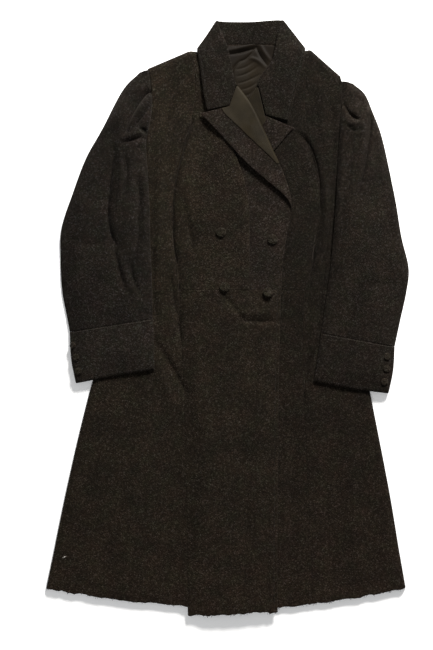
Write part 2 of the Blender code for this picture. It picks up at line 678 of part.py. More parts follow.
def lay_panel(name, grid, under, roll_left_to=0, roll_top=False, both_seams=False,
              edge_right=False, folds=(), puff=0.0):
    """A body panel: outer edge at the left of its grid, seam at the right."""
    grid = grid.copy()
    first = grid[:, 1] - grid[:, 0]
    first /= np.linalg.norm(first, axis=-1, keepdims=True)
    last = grid[:, -2] - grid[:, -1]
    last /= np.linalg.norm(last, axis=-1, keepdims=True)
    count = grid.shape[0]
    rolling = np.array([1.0 if i <= roll_left_to else 0.0 for i in range(count)])
    if roll_left_to:
        grid[:, 0] += first * (WOOL * rolling + AIR / 2 * (1 - rolling))[:, None]
    else:
        grid[:, 0] += first * AIR * 0.8
    grid[:, -1] += last * (WOOL * 0.5 if edge_right else AIR * 0.8)
    if roll_top:
        grid = pull_in(grid, "end", WOOL)
        grid = near_edge(grid, "end", (1.2, 3.8, EDGE_ROLL))
    if roll_left_to:
        grid = near_edge(grid, "left", (1.2, 3.8, EDGE_ROLL))
    z = Heap.read(under.field(34.0, 24.0), grid)
    z = z + AIR * np.clip(z / 0.5, 0, 1)
    edge = Heap.read(under.field(5.0, 0.0), grid) + AIR
    edge = np.minimum(edge, z)
    k = np.ones(z.shape)
    if roll_left_to:
        stop = min(roll_left_to, grid.shape[0] - 1)
        d = line_distance(grid, grid[:stop + 1, 0])
        k = np.minimum(k, ease(d / EDGE_ROLL))
    if roll_top:
        k = np.minimum(k, ease(line_distance(grid, grid[-1]) / EDGE_ROLL))
    lift = np.maximum(fold_lift(grid, folds) + puff, 0.0)
    z = edge + (z - edge) * k + lift * np.minimum(1, k)
    points = np.concatenate([grid, z[..., None]], axis=-1)
    cloth(name, points, WOOL, WOOL_LOOK, faces_up(points))
    return points, points + np.array([0, 0, WOOL])


LAPEL_CELLS = (4, 4, 4)
COLLAR_CELLS = (3, 4, 4)
behind_left = heap.copy()
lapel_left, flat_left = front("left", LEFT_BODICE, LEFT_SKIRT, 0.0)
silk = silk_on("silk_facing_left", lapel_left, 1, SILK_REACH_LEFT, LAPEL_CELLS)
heap.add(silk, silk + np.array([0, 0, SILK]))
behind_right = heap.copy()
lapel_right, flat_right = front("right", RIGHT_BODICE, RIGHT_SKIRT, RIGHT_HEM_DROP)
silk = silk_on("silk_facing_right", lapel_right, -1, SILK_REACH_RIGHT, LAPEL_CELLS)
heap.add(silk, silk + np.array([0, 0, SILK]))

# Sleeves
for side, table, cuff, beside in (("right", RIGHT_SLEEVE, RIGHT_CUFF, behind_right),
                                  ("left", LEFT_SLEEVE, LEFT_CUFF, behind_left)):
    whole = [row[:3] for row in table] + [row for row in cuff[1:]]
    grid = across([column(whole, i, 2) for i in range(3)], [3, 3])
    grid = pull_in(grid, "left", BACK_INSET)
    grid = pull_in(grid, "right", BACK_INSET)
    grid = pull_in(grid, "end", 6.0)
    grid = grid[4:]
    p, u = lay("under_sleeve_" + side, grid, heap, reach=32.0, soft=16.0)
    heap.add(p, u)
    only = beside.copy()
    only.add(p, u)
    grid = across([column(table, i, 2) for i in range(3)], [3, 3])
    seat = [row[3] for row in table]
    p1, u1 = lay("top_sleeve_" + side, grid, heap, reach=28.0, rolled=("left", "right"), seams=("end",),
                 folds=SLEEVE_FOLDS, puff=2.6, seat=seat, beside=only)
    grid = across([column(cuff, i, 2) for i in range(3)], [3, 3])
    p2, u2 = lay("cuff_" + side, grid, heap, rolled=("left", "right", "end"), seams=("start",),
                 puff=2.6)
    heap.add(p1, u1)
    heap.add(p2, u2)

# Collar
cols = [column(COLLAR, i, 2) for i in range(4)]
turn = np.interp(np.arange(len(cols[0])) / 2, np.arange(len(COLLAR)), [r[4] for r in COLLAR])
sections = [(cols[0][i], cols[1][i], cols[2][i], cols[3][i], turn[i], 1.0)
            for i in range(len(turn))]
stand = np.array([[(-24, 519, REAR[0]), (-15, 562, REAR[1])], [(4, 521, REAR[0]), (2, 562, REAR[1])],
                  [(88, 521, REAR[0]), (84, 562, REAR[1])], [(108, 519, REAR[0]), (98, 562, REAR[1])]])
stand[..., 2] += WOOL + 1.2
maps = []
for below in (behind_right, behind_left):
    below.add(stand, stand)
    maps.append((below.field(14.0, 12.0), below.field(40.0, 24.0)))
unders, overs = [], []
half = len(sections) // 2
for i in range(len(sections)):
    near, far = maps[0 if i < half else 1]
    q = np.interp(min(i, len(sections) - 1 - i) / 2, [0, 1, 3, 5], [1.0, 0.9, 0.3, 0.0])
    unders.append(near * (1 - q) + far * q)
    overs.append(flat_right if i < half else flat_left)
collar = folded("collar", sections, unders, overs, COLLAR_CELLS, rear=REAR)
heap.add(collar, collar + np.array([0, 0, WOOL]))

# Buttons, each dropped on the finished cloth
bpy.context.view_layer.update()
graph = bpy.context.evaluated_depsgraph_get()
trees = []
for ob in coat.objects:
    shape = ob.evaluated_get(graph).to_mesh()
    trees.append(BVHTree.FromPolygons([v.co.copy() for v in shape.vertices],
                                      [tuple(q.vertices) for q in shape.polygons]))


def drop(x, y):
    """Height of the highest cloth at a point."""
    best = 0.0
    for tree in trees:
        hit = tree.ray_cast(Vector(metres((x, y, 100.0))), Vector((0, 0, -1)))[0]
        if hit:
            best = max(best, hit.z / MM)
    return best


for name, x, y in COAT_BUTTONS:
    button(name, x, y, COAT_BUTTON, 20)
for name, x, y in CUFF_BUTTONS:
    button(name, x, y, CUFF_BUTTON, 16)
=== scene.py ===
"""Frock coat laid flat on its back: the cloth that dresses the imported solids.

Left and right are the wearer's own. Sizes are millimetres until a mesh is made. The
tables are those that the solids were made from, save the collar's top, which is up to
5 mm higher here, so each piece lies where its solid lies.
"""
import math

import bpy
import numpy as np
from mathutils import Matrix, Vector
from mathutils.bvhtree import BVHTree


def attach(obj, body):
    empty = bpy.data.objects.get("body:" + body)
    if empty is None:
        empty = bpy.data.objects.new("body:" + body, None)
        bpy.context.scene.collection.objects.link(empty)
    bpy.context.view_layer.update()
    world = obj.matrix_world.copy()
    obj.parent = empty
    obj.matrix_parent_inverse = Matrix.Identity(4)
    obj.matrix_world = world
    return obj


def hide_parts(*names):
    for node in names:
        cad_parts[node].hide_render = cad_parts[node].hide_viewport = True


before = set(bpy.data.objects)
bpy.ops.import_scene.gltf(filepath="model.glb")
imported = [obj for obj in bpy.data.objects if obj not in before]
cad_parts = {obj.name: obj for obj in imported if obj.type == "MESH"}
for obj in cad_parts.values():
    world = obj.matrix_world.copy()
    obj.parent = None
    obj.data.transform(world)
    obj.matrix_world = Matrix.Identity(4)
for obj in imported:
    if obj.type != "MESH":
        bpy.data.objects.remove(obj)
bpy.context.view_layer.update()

# Sizes, millimetres
MM = 0.001
WOOL = 2.0            # coat cloth with its interlining
SILK = 0.8            # facing on the lapels
LINING = 0.9          # back neck lining
AIR = 0.3             # between two pieces that touch or are sewn together
EDGE_ROLL = 8.0       # width of the rounding at a folded edge
BACK_INSET = 9.0      # the back keeps this far inside the folded edges of the fronts
FOLD_IN = 1.3         # inner radius of the fold in lapels and collar
REAR = (2.3, 4.6, 2.0)   # behind the neck: stand at the seam, stand at the roll, fall
LIP = 4.5             # width of the turned lip where a lapel runs out
COAT_BUTTON, CUFF_BUTTON = 19.0, 14.0
STITCH_PROUD = 0.05
CELL = 4.0            # grid of the heap's height map
SPAN_X, SPAN_Y = 400.0, 620.0
SHIFT = (0.95, 1.4)   # brings the middle of the finished coat over the origin
BODY_PUFF = 5.0       # loft of the cloth over what it lies on
SLEEVE_PUFF = 9.5
SEAM_GAP = 0.05       # between the edges of two panels, each side
HEM_RAGGED = 1.5      # unevenness of the raw hem
ARMHOLE = 0.34        # share of a sleeve's length that is sewn to the body
ARMHOLE_END = 0.12    # share of its length over which that seam runs out
BRIM = 9.0            # highest that a sleeve's edges stand along the armhole
BRIM_RISE = 8.0       # how much the brim rises a whole length, from BRIM_FROM on
BRIM_FROM, BRIM_END, BRIM_FADE = 0.31, 0.45, 0.06   # shares of the length
TAPER_FROM = 0.62     # share of the length from which the loft tapers
LOFT_WIDTH, LOFT_CURVE = 30.0, 0.6    # the loft of a sleeve over its distance inwards
NEAR = (5.0, 4.0)     # reach and blur for what lies right under an edge
BODY_REACH = (34.0, 24.0)
STAND_REACH = (40.0, 24.0)
FALL_REACH = (20.0, 10.0)
NECK_REACH = (14.0, 12.0)
TAB = (15.0, 3.4)     # width and drop of the front edge's band at the hem
HEM_ROWS = 9          # rows of points that the ragged hem bends
EDGE_LOFT, EDGE_LOFT_WIDTH = 0.45, 26.0   # share of the loft that a front edge keeps
GROOVE = (17.0, 2.2, -300.0)   # right front edge: how far in, how deep, upper end
GROOVE_HALF, GROOVE_FADE = 1.6, 60.0
TURN_DOWN = 2.5       # flat width of the lip at the very end of a lapel
RIM_OUT = 0.22        # how round the edge of a cloth is, share of its thickness
WEAVE_SHIFT = 0.37    # moves the weave from one piece to the next
SIDES = ("left", "right", "start", "end")
EDGE_STEPS = (0.5, 1.2, 2.4)   # extra lines of points close to an edge
K_BODY, K_SKIRT, K_SLEEVE, K_CUFF, K_BACK = 12, 26, 20, 20, 8   # steps a table row
K_COLLAR, K_LINING = 10, 24
LAPEL_CELLS = (26, 10, 28)   # points across the stand, the bend and the fall
COLLAR_CELLS = (10, 10, 18)
SILK_CELLS = 22

# Right front, waist to shoulder. One row per section, each pair is x, y:
# outer edge, side seam, lapel seam (neck edge in the last two rows), front edge or
# roll line, middle and outer edge of the turned lapel, share of the lapel's turn
RIGHT_BODICE = [
    ((-209, 53), (-96, 53), (40, 53), (101, 53), (101, 53), (101, 53), 0.0),
    ((-192, 110), (-101, 110), (40, 107), (104, 107), (104, 107), (104, 107), 0.0),
    ((-171, 167), (-104, 167), (40, 160), (112, 160), (112, 160), (112, 160), 0.0),
    ((-161, 225), (-102, 222), (39, 212), (124, 213), (120, 216), (118, 217), 0.15),
    ((-160, 275), (-97, 275), (30, 262), (107, 271), (92, 263), (77, 258), 1.0),
    ((-156, 325), (-84, 325), (14, 310), (86, 315), (60, 303), (36, 293), 1.0),
    ((-149.5, 375), (-70, 380), (-2, 355), (66, 359), (33, 345), (1, 331), 1.0),
    ((-145.5, 413), (-64, 425), (-12, 405), (43, 404), (6, 386), (-33, 368), 1.0),
    ((-146, 438), (-64, 462), (-18, 450), (19, 437), (3, 401), (-52, 388), 1.0),
    ((-149, 461), (-67, 490), (-32, 485), None, None, None, None),
    ((-153, 475), (-74, 508.5), (-47.5, 505), None, None, None, None),
]
# Left front, waist to shoulder, same columns
LEFT_BODICE = [
    ((232, 53), (146, 53), (33, 53), (-32, 53), (-32, 53), (-32, 53), 0.0),
    ((226, 110), (163, 110), (34, 107), (-36, 107), (-36, 107), (-36, 107), 0.0),
    ((219, 167), (170, 167), (35, 160), (-46, 160), (-46, 160), (-46, 160), 0.0),
    ((212, 222), (176, 222), (38, 212), (-56, 212), (-53, 215), (-51, 216), 0.15),
    ((213, 272), (176, 270), (48, 262), (-38, 255), (-24, 249), (-11, 243), 1.0),
    ((211.3, 320), (160, 322), (62, 310), (-15, 303), (9, 291), (34, 280), 1.0),
    ((213.3, 370), (150, 370), (78, 355), (8, 350), (44, 332), (82, 314), 1.0),
    ((214.8, 405), (147, 415), (90, 405), (30, 395), (70, 371), (113, 349), 1.0),
    ((216, 425), (148, 450), (98, 445), (54, 436), (70, 384), (125, 361), 1.0),
    ((216.5, 446), (151, 484), (113, 484), None, None, None, None),
    ((213.5, 460), (157, 511), (131, 505), None, None, None, None),
]
# Right skirt, waist to hem: outer edge, hem bow, side seam, hem bow, front edge
RIGHT_SKIRT = [
    ((-209, 53), (-152, 53), (-96, 53), (3, 53), (101, 53)),
    ((-232, -30), (-161, -30), (-90, -30), (5, -30), (99, -30)),
    ((-258, -118), (-171, -119), (-85, -119), (6, -119), (97, -119)),
    ((-285, -225), (-183, -228), (-82, -229), (7, -229), (96, -228)),
    ((-312, -345), (-195, -351), (-79, -353), (8, -354), (95, -351)),
    ((-333, -448), (-205, -457), (-77, -461), (9, -463), (94, -458)),
    ((-347, -515), (-208, -536), (-76, -549), (9, -563), (95, -556)),
]
RIGHT_HEM_DROP = 16.5    # the front skirt hangs this much longer than the side skirt
# Left skirt, waist to hem, same columns
LEFT_SKIRT = [
    ((232, 53), (189, 53), (146, 53), (57, 53), (-32, 53)),
    ((251, -43), (196, -43), (142, -43), (54, -43), (-34, -43)),
    ((270, -136), (206, -137), (143, -137), (54, -137), (-35, -137)),
    ((289, -232), (219, -235), (148, -236), (56, -236), (-36, -236)),
    ((310, -341), (231, -347), (153, -350), (58, -352), (-37, -350)),
    ((327, -444), (243, -455), (158, -461), (60, -465), (-38, -463)),
    ((339, -514), (249, -531), (160, -544), (60, -556), (-39, -558)),
]
# Back, hem to shoulder, on the right: side edge, bow, centre seam. The side edges
# repeat the fronts' outer edges and are moved in by BACK_INSET when laid.
BACK_RIGHT = [
    ((-345, -512), (-175, -532), (-4, -541)),
    ((-332, -448), (-167, -455), (-1, -461)),
    ((-311, -345), (-154, -350), (3, -353)),
    ((-284, -225), (-139, -228), (7, -229)),
    ((-257, -118), (-124, -119), (12, -119)),
    ((-231, -30), (-108, -30), (16, -30)),
    ((-208, 53), (-94, 53), (20, 53)),
    ((-170, 167), (-73, 167), (25, 167)),
    ((-160, 275), (-63, 275), (30, 275)),
    ((-166, 375), (-60, 375), (35, 375)),
    ((-164, 432), (-58, 457), (39, 450)),
    ((-151, 469), (-22, 521), (46, 521)),
]
BACK_LEFT = [
    ((337, -511), (167, -532), (-4, -541)),
    ((326, -444), (163, -455), (-1, -461)),
    ((309, -341), (156, -350), (3, -353)),
    ((288, -232), (148, -232), (7, -229)),
    ((269, -136), (140, -136), (12, -119)),
    ((250, -43), (133, -43), (16, -30)),
    ((231, 53), (126, 53), (20, 53)),
    ((218, 167), (122, 167), (25, 167)),
    ((211, 272), (120, 275), (30, 275)),
    ((228, 370), (126, 372), (35, 375)),
    ((232, 418), (126, 454), (39, 450)),
    ((210, 460), (114, 521), (46, 521)),
]
# Sleeves, shoulder to cuff seam: outer edge, middle, inner edge, seat
# (0 level with the front beside the armhole, 1 on top of the body)
RIGHT_SLEEVE = [
    ((-168.5, 467), (-160, 470), (-150.5, 471), 0.0),
    ((-201, 434), (-172, 432), (-145, 425), 0.0),
    ((-238, 363), (-193, 374), (-148, 382), 0.3),
    ((-271, 304), (-212, 319), (-155, 330), 1.0),
    ((-296, 238), (-223, 253), (-151, 265), 1.0),
    ((-318, 170), (-233, 188), (-148, 205), 1.0),
    ((-320, 110), (-233, 130), (-147, 150), 1.0),
    ((-317, 52), (-231, 66), (-144, 80), 1.0),
    ((-308, 4), (-225, 20), (-143, 32), 1.0),
    ((-302, -26), (-226, -14), (-142, -1), 1.0),
]
LEFT_SLEEVE = [
    ((238, 446), (227, 449), (215.6, 451), 0.0),
    ((261, 427), (238, 420), (215.7, 412), 0.0),
    ((276, 392), (244, 379), (212.6, 366), 0.5),
    ((292, 350), (251, 336), (210, 322), 1.0),
    ((306, 293), (256, 283), (207, 272), 1.0),
    ((320, 223), (262, 220), (204, 216), 1.0),
    ((331, 155), (265, 156), (199, 154), 1.0),
    ((345, 95), (269, 98), (194, 98), 1.0),
    ((341, 50), (264, 48), (187, 45), 1.0),
    ((330, 0), (255, 3), (181, 5), 1.0),
    ((318, -54), (246, -41), (176, -28), 1.0),
]
# Cuffs, seam to lower edge: outer edge, middle, inner edge
RIGHT_CUFF = [
    ((-302, -27), (-226, -15), (-142, -2)),
    ((-299, -78), (-219, -62), (-140, -52)),
    ((-290, -125), (-215, -111), (-139, -99)),
]
LEFT_CUFF = [
    ((318, -55), (246, -42), (176, -29)),
    ((315, -100), (240, -88), (169, -77)),
    ((306, -144), (236, -136), (162, -121)),
]
# Collar, front end on the right over the back to the front end on the left:
# neck seam, roll, middle and edge of the fall, and the turn of the section in
# degrees (-90 the fall lies behind the stand, 0 edge on, 90 it lies in front)
COLLAR = [
    ((8, 443), (17.5, 439.5), (-0.5, 402.5), (-39, 395), 90),
    ((-2, 449), (15, 447), (-12, 421), (-42, 406), 90),
    ((-14, 458), (11, 460), (-17, 442), (-46, 426), 90),
    ((-23, 474), (6, 486), (-23, 467), (-50, 452), 90),
    ((-30, 491), (-2, 519), (-29, 494), (-53, 475), 90),
    ((-37, 505), (-10, 538), (-34, 517), (-56.5, 497), 85),
    ((-42, 512), (-19, 563), (-40, 536), (-57, 512), 0),
    ((-24, 519), (-15, 565), (-28, 537), (-42, 509), -85),
    ((4, 521), (2, 564), (-3, 537), (-9, 507), -90),
    ((46, 521), (44, 564), (45, 537), (46, 507), -90),
    ((88, 521), (84, 567), (90, 538), (97, 507), -90),
    ((108, 519), (99, 567), (113, 538), (128, 510), -85),
    ((125, 512), (102.5, 563.5), (126, 538), (144.5, 513), 0),
    ((121, 504), (95, 539), (122, 517), (145, 500), 85),
    ((114, 492), (89, 511), (116, 492), (139.5, 477), 90),
    ((107, 479), (84, 491), (110, 468), (134, 458), 90),
    ((100, 467), (73, 474), (102, 443), (128, 430), 90),
    ((88, 455), (61, 457), (92, 418), (121, 402), 90),
    ((67, 441), (55, 440), (72, 386), (114, 375), 90),
]
# Back neck lining, neck seam down: side, middle, side
NECK_LINING = [
    ((-20, 515), (46, 520.3), (109, 515)),
    ((-22, 478), (46, 478), (108, 478)),
    ((-10, 440), (45, 440), (94, 440)),
    ((8, 396), (42, 390), (74, 396)),
]
# How far the silk reaches over the turned lapel: row of the bodice table, share
SILK_REACH_RIGHT = [(4.5, 0.03), (5.0, 0.17), (5.5, 0.32), (6.0, 0.44), (6.5, 0.53),
                    (7.0, 0.60), (7.5, 0.63), (8.0, 0.64)]
SILK_REACH_LEFT = [(4.5, 0.03), (5.0, 0.18), (5.5, 0.32), (6.0, 0.42), (6.5, 0.48),
                   (7.0, 0.50), (7.5, 0.50), (8.0, 0.49)]
# Folds: three points of its line, half width on the left and right of the line's
# direction, height (less than 0 is a trough)
SLEEVE_FOLDS = [
    (-145, 431, -169, 406, -193, 355, 3.2, 7.5, -13.0),
    (-146, 420, -165, 395, -188, 357, 3.6, 5, 5.0),
    (-144, 405, -162, 380, -179, 359, 2.6, 4.5, -5.5),
    (-167, 443, -193, 411, -211, 363, 7, 14, 6.0),
    (-200, 342, -180, 348, -164, 356, 3.5, 4, 4.0),
    (-198, 332, -180, 337, -165, 344, 3, 3.5, -4.6),
    (-166, 357, -156, 352, -154, 334, 3.4, 3.4, -10.0),
    (-180, 325, -165, 332, -156, 321, 4, 4, 3.0),
    (-214, 319, -225, 239, -227, 194, 5, 8, -8.0),
    (-228, 205, -223, 165, -212, 137, 5, 7, -7.2),
    (-205, 315, -203, 262, -210, 211, 3.2, 3.2, 3.8),
    (-195, 308, -191, 270, -194, 232, 3, 4, -2.8),
    (-173, 266, -169, 224, -172, 182, 7, 5, -7.4),
    (-172, 190, -172, 148, -186, 84, 6, 4.5, -5.6),
    (-190, 224, -190, 182, -198, 137, 7, 7, 2.4),
    (-154, 266, -145, 209, -148, 137, 3.5, 3.5, -4.2),
    (-161, 285, -158, 232, -159, 163, 3.5, 4, 2.8),
    (-216, 133, -206, 91, -196, 51, 4, 4, -4.4),
    (-186, 106, -179, 72, -165, 40, 4.5, 4, -4.2),
    (-205, 125, -194, 84, -180, 49, 4, 4, 2.0),
    (-253, 291, -281, 167, -281, 53, 22, 22, 3.0),
    (-258, 215, -239, 226, -222, 218, 4, 6, -2.0),
    (-296, 150, -262, 139, -238, 146, 5, 6, -1.8),
    (223, 403, 234, 384, 251, 376, 4, 4, -9.0),
    (226, 416, 243, 428, 262, 408, 5, 6, 3.4),
    (224, 376, 239, 368, 255, 378, 4, 4, 3.0),
    (230, 363, 239, 355, 251, 359, 3, 3, -3.0),
    (271, 380, 266, 318, 246, 232, 2.8, 7, -9.4),
    (254, 372, 254, 327, 240, 277, 5, 6, 3.4),
    (238, 350, 235, 304, 225, 251, 4, 4, -3.0),
    (283, 380, 290, 319, 291, 258, 7, 7, 2.8),
    (220, 350, 214, 243, 206, 156, 4, 5, 2.6),
    (210, 185, 217, 196, 222, 204, 3, 3, -3.2),
    (308, 228, 323, 129, 317, 34, 18, 20, 3.2),
    (300, 200, 310, 165, 314, 137, 6, 6, -2.2),
    (239, 148, 236, 89, 232, 30, 12, 14, -2.2),
    (262, 70, 285, 63, 312, 70, 6, 7, -1.7),
]
FRONT_FOLDS = [
    (-66, 374, -86, 318, -101, 256, 2.2, 4.5, -12.0),
    (-58, 378, -77, 320, -92, 256, 6, 4.5, 4.0),
    (-74, 378, -95, 320, -110, 256, 4.5, 6, 3.2),
    (-100, 262, -105, 177, -97, 106, 3.4, 6, -6.4),
    (-97, 120, -92, 34, -91, -42, 5, 6, -3.9),
    (-53, 479, -76, 445, -104, 407, 7, 9, 3.8),
    (-80, 464, -106, 422, -118, 369, 6, 7, -3.6),
    (-84, 224, -74, 175, -68, 137, 5, 5, -3.1),
    (-124, 334, -132, 209, -129, 91, 9, 8, 3.4),
    (-61, 331, -76, 258, -74, 182, 10, 8, 2.9),
    (-10, 46, 8, 25, 28, -2, 4, 5, -3.9),
    (19, -4, 63, -8, 104, -4, 6, 3.5, -3.9),
    (19, 11, 63, 10, 101, 11, 5, 6, 2.2),
    (-110, 78, -99, 13, -87, -53, 5, 6, -4.8),
    (-137, -46, -106, -95, -78, -146, 5, 7, -5.0),
    (-148, -65, -122, -122, -91, -175, 8, 8, 2.4),
    (-59, -30, -61, -108, -59, -200, 12, 10, 2.4),
    (-144, 129, -142, 53, -133, -23, 5, 6, -3.6),
    (138, 350, 168, 296, 176, 203, 3.4, 8, -8.0),
    (176, 213, 169, 152, 150, 28, 5, 7, -6.2),
    (184, 262, 187, 198, 179, 129, 5, 5, 3.8),
    (146, -101, 154, -86, 163, -68, 3.5, 4, -4.8),
    (131, 222, 122, 165, 112, 122, 4, 4, 1.9),
    (190, 129, 180, 53, 171, -23, 4, 5, -4.2),
    (156, -23, 148, -103, 144, -175, 6, 6, -2.8),
    (198, 395, 201, 319, 196, 243, 6, 6, -3.4),
    (171, 452, 179, 395, 182, 338, 8, 7, 2.6),
    (-40, -150, -51, -331, -56, -521, 17, 17, 2.9),
    (-150, -180, -177, -331, -196, -500, 17, 19, 3.1),
    (-236, -160, -262, -300, -286, -441, 12, 12, -2.8),
    (30, -260, 34, -401, 36, -540, 12, 13, -2.7),
    (220, -180, 236, -331, 248, -490, 17, 17, 3.1),
    (127, -200, 120, -340, 118, -521, 13, 13, -2.8),
    (186, -260, 190, -380, 196, -521, 9, 9, -2.5),
    (-104, -300, -116, -401, -120, -521, 9, 9, -2.5),
    (294, -289, 312, -384, 325, -471, 9, 9, -2.5),
    (106, -125, 106, -213, 105, -289, 1.6, 3.0, -3.0),
]
LINING_FOLDS = [
    (-1.9, 508.2, 24.7, 513.9, 53.2, 521.0, 4, 3, 3.4),
    (0.0, 500.6, 28.5, 506.3, 53.2, 513.9, 2, 2.4, -3.4),
    (54.1, 517.8, 39.9, 497.8, 23.8, 488.3, 2, 2, -3.1),
    (24.1, 489.1, 8.2, 468.9, 12.2, 445.0, 2, 2.2, -3.6),
    (12.2, 445.0, 24.7, 423.7, 40.3, 406.8, 2, 2.2, -3.6),
    (55.1, 518.7, 58.9, 503.5, 74.1, 480.7, 2, 2.2, -3.6),
    (62.7, 518.7, 68.4, 505.4, 79.8, 490.2, 3, 3, 2.5),
    (41.8, 494.0, 55.1, 490.2, 68.4, 478.8, 3, 3, 2.0),
    (17.1, 459.8, 36.1, 465.5, 57.0, 478.8, 1.8, 1.8, -1.8),
    (19.0, 446.5, 38.0, 452.2, 60.8, 463.6, 1.8, 1.8, -1.8),
    (24.7, 435.1, 39.9, 438.9, 55.1, 448.4, 1.6, 1.6, -1.5),
    (15.2, 473.1, 32.3, 476.9, 49.4, 488.3, 1.8, 1.8, -1.4),
    (30.4, 423.7, 39.9, 425.6, 47.5, 433.2, 1.5, 1.5, -1.3),
]
# Buttons: name, x, y
COAT_BUTTONS = [("button_right_upper", -13, 163), ("button_left_upper", 85, 149),
                ("button_right_lower", -6, 59), ("button_left_lower", 76, 48)]
CUFF_BUTTONS = [("cuff_button_right_1", -294, -52), ("cuff_button_right_2", -288, -75),
                ("cuff_button_right_3", -284, -101), ("cuff_button_left_1", 302, -73),
                ("cuff_button_left_2", 301, -96), ("cuff_button_left_3", 297, -121)]
# Tweed, as places and multipliers: light and dark yarns, their few colours, the fine
# grain, the broad unevenness and the slight change of hue
FLECKS = [(0.0, (0.50, 0.47, 0.44)), (0.30, (0.70, 0.68, 0.65)), (0.60, (0.96, 0.96, 0.95)),
          (0.82, (1.36, 1.40, 1.46)), (0.94, (1.92, 2.06, 2.34)), (1.0, (2.7, 3.0, 3.7))]
YARN_TINTS = [(0.0, (1.0, 1.0, 1.0)), (0.62, (1.0, 1.0, 1.0)), (0.74, (0.99, 1.03, 0.90)),
              (0.86, (1.08, 0.97, 0.94)), (1.0, (0.94, 1.0, 1.10))]
GRAIN = [(0.30, 0.62), (0.5, 1.0), (0.72, 1.5)]
MOTTLE = [(0.32, (0.84, 0.85, 0.86)), (0.68, (1.16, 1.14, 1.10))]
HUES = [(0.34, (0.94, 1.03, 0.96)), (0.46, (1.0, 1.0, 1.0)), (0.54, (1.0, 1.0, 1.0)),
        (0.66, (1.05, 0.98, 1.0))]
YARN_SIZE, GRAIN_SIZE, TWILL_SIZE, MOTTLE_SIZE, HUE_SIZE = 1.8, 1.5, 2.4, 48.0, 26.0
YARN_TURN, HUE_TURN = 24, 40   # degrees
TWILL_SHARE = 0.22
KNOT = 0.9                     # how deep the gaps between yarns are in the relief
TWEED_RELIEF, SILK_RELIEF, THREAD_RELIEF = 0.0005, 0.0002, 0.0001   # metres
WEAR_SIZE, SILK_GRAIN, RIB_SHARE, RIB_TURN = 34.0, 0.9, 0.25, 8


# Materials
def set_inputs(shader, values):
    for socket, value in values.items():
        shader.inputs[socket].default_value = value


def node(tree, kind, inputs=None, **props):
    """One node, with its values set and its sockets linked."""
    n = tree.nodes.new(kind)
    for key, value in props.items():
        setattr(n, key, value)
    for key, value in (inputs or {}).items():
        if isinstance(value, bpy.types.NodeSocket):
            tree.links.new(value, n.inputs[key])
        else:
            n.inputs[key].default_value = value
    return n


def ramp(tree, factor, stops):
    """A scale of greys or colours over a factor."""
    n = node(tree, "ShaderNodeValToRGB", {"Fac": factor})
    for i, (place, value) in enumerate(stops):
        e = n.color_ramp.elements[i] if i < 2 else n.color_ramp.elements.new(place)
        e.position = place
        rgb = value if hasattr(value, "__len__") else (value, value, value)
        e.color = (*rgb, 1.0)
    return n.outputs["Color"]


def multiply(tree, factor, a, b):
    return node(tree, "ShaderNodeMix", {0: factor, 6: a, 7: b}, data_type="RGBA",
                blend_type="MULTIPLY").outputs[2]


def maths(tree, operation, a, b):
    return node(tree, "ShaderNodeMath", {0: a, 1: b}, operation=operation).outputs[0]


def start_material(name, rough, specular, sheen):
    m = bpy.data.materials.new(name)
    m.use_nodes = True
    tree = m.node_tree
    shader = tree.nodes["Principled BSDF"]
    set_inputs(shader, {"Roughness": rough, "Specular IOR Level": specular,
                        "Sheen Weight": sheen, "Sheen Roughness": 0.45})
    place = node(tree, "ShaderNodeAttribute", attribute_name="cloth").outputs["Vector"]
    return m, tree, shader, place


def end_material(tree, shader, colour, height, strength, deep):
    """Link the colour and the relief, which is so many metres deep."""
    tree.links.new(colour, shader.inputs["Base Color"])
    bumped = node(tree, "ShaderNodeBump", {"Height": height, "Strength": strength,
                                           "Distance": deep})
    tree.links.new(bumped.outputs[0], shader.inputs["Normal"])


def scaled(tree, place, size, turn=0.0):
    """The cloth's own coordinates, so that one unit is so many millimetres."""
    k = 1.0 / (size * MM)
    return node(tree, "ShaderNodeMapping", {"Vector": place, "Scale": (k, k, k),
                                            "Rotation": (0, 0, math.radians(turn))}).outputs[0]


def noise(tree, place, size, detail, turn=0.0):
    """Flat noise of that size in millimetres."""
    return node(tree, "ShaderNodeTexNoise",
                {"Vector": scaled(tree, place, size, turn), "Scale": 1.0, "Detail": detail},
                noise_dimensions="2D").outputs["Fac"]


def graded(tree, colour, low, high, end):
    """Painted light and shade: another tone from one height on the coat to another."""
    spot = node(tree, "ShaderNodeTexCoord").outputs["Object"]
    level = node(tree, "ShaderNodeSeparateXYZ", {"Vector": spot}).outputs["Y"]
    level = node(tree, "ShaderNodeMapRange", {"Value": level, "From Min": low * MM,
                                              "From Max": high * MM}).outputs["Result"]
    return multiply(tree, 1.0, colour, ramp(tree, level, [(0.0, 1.0), (1.0, end)]))


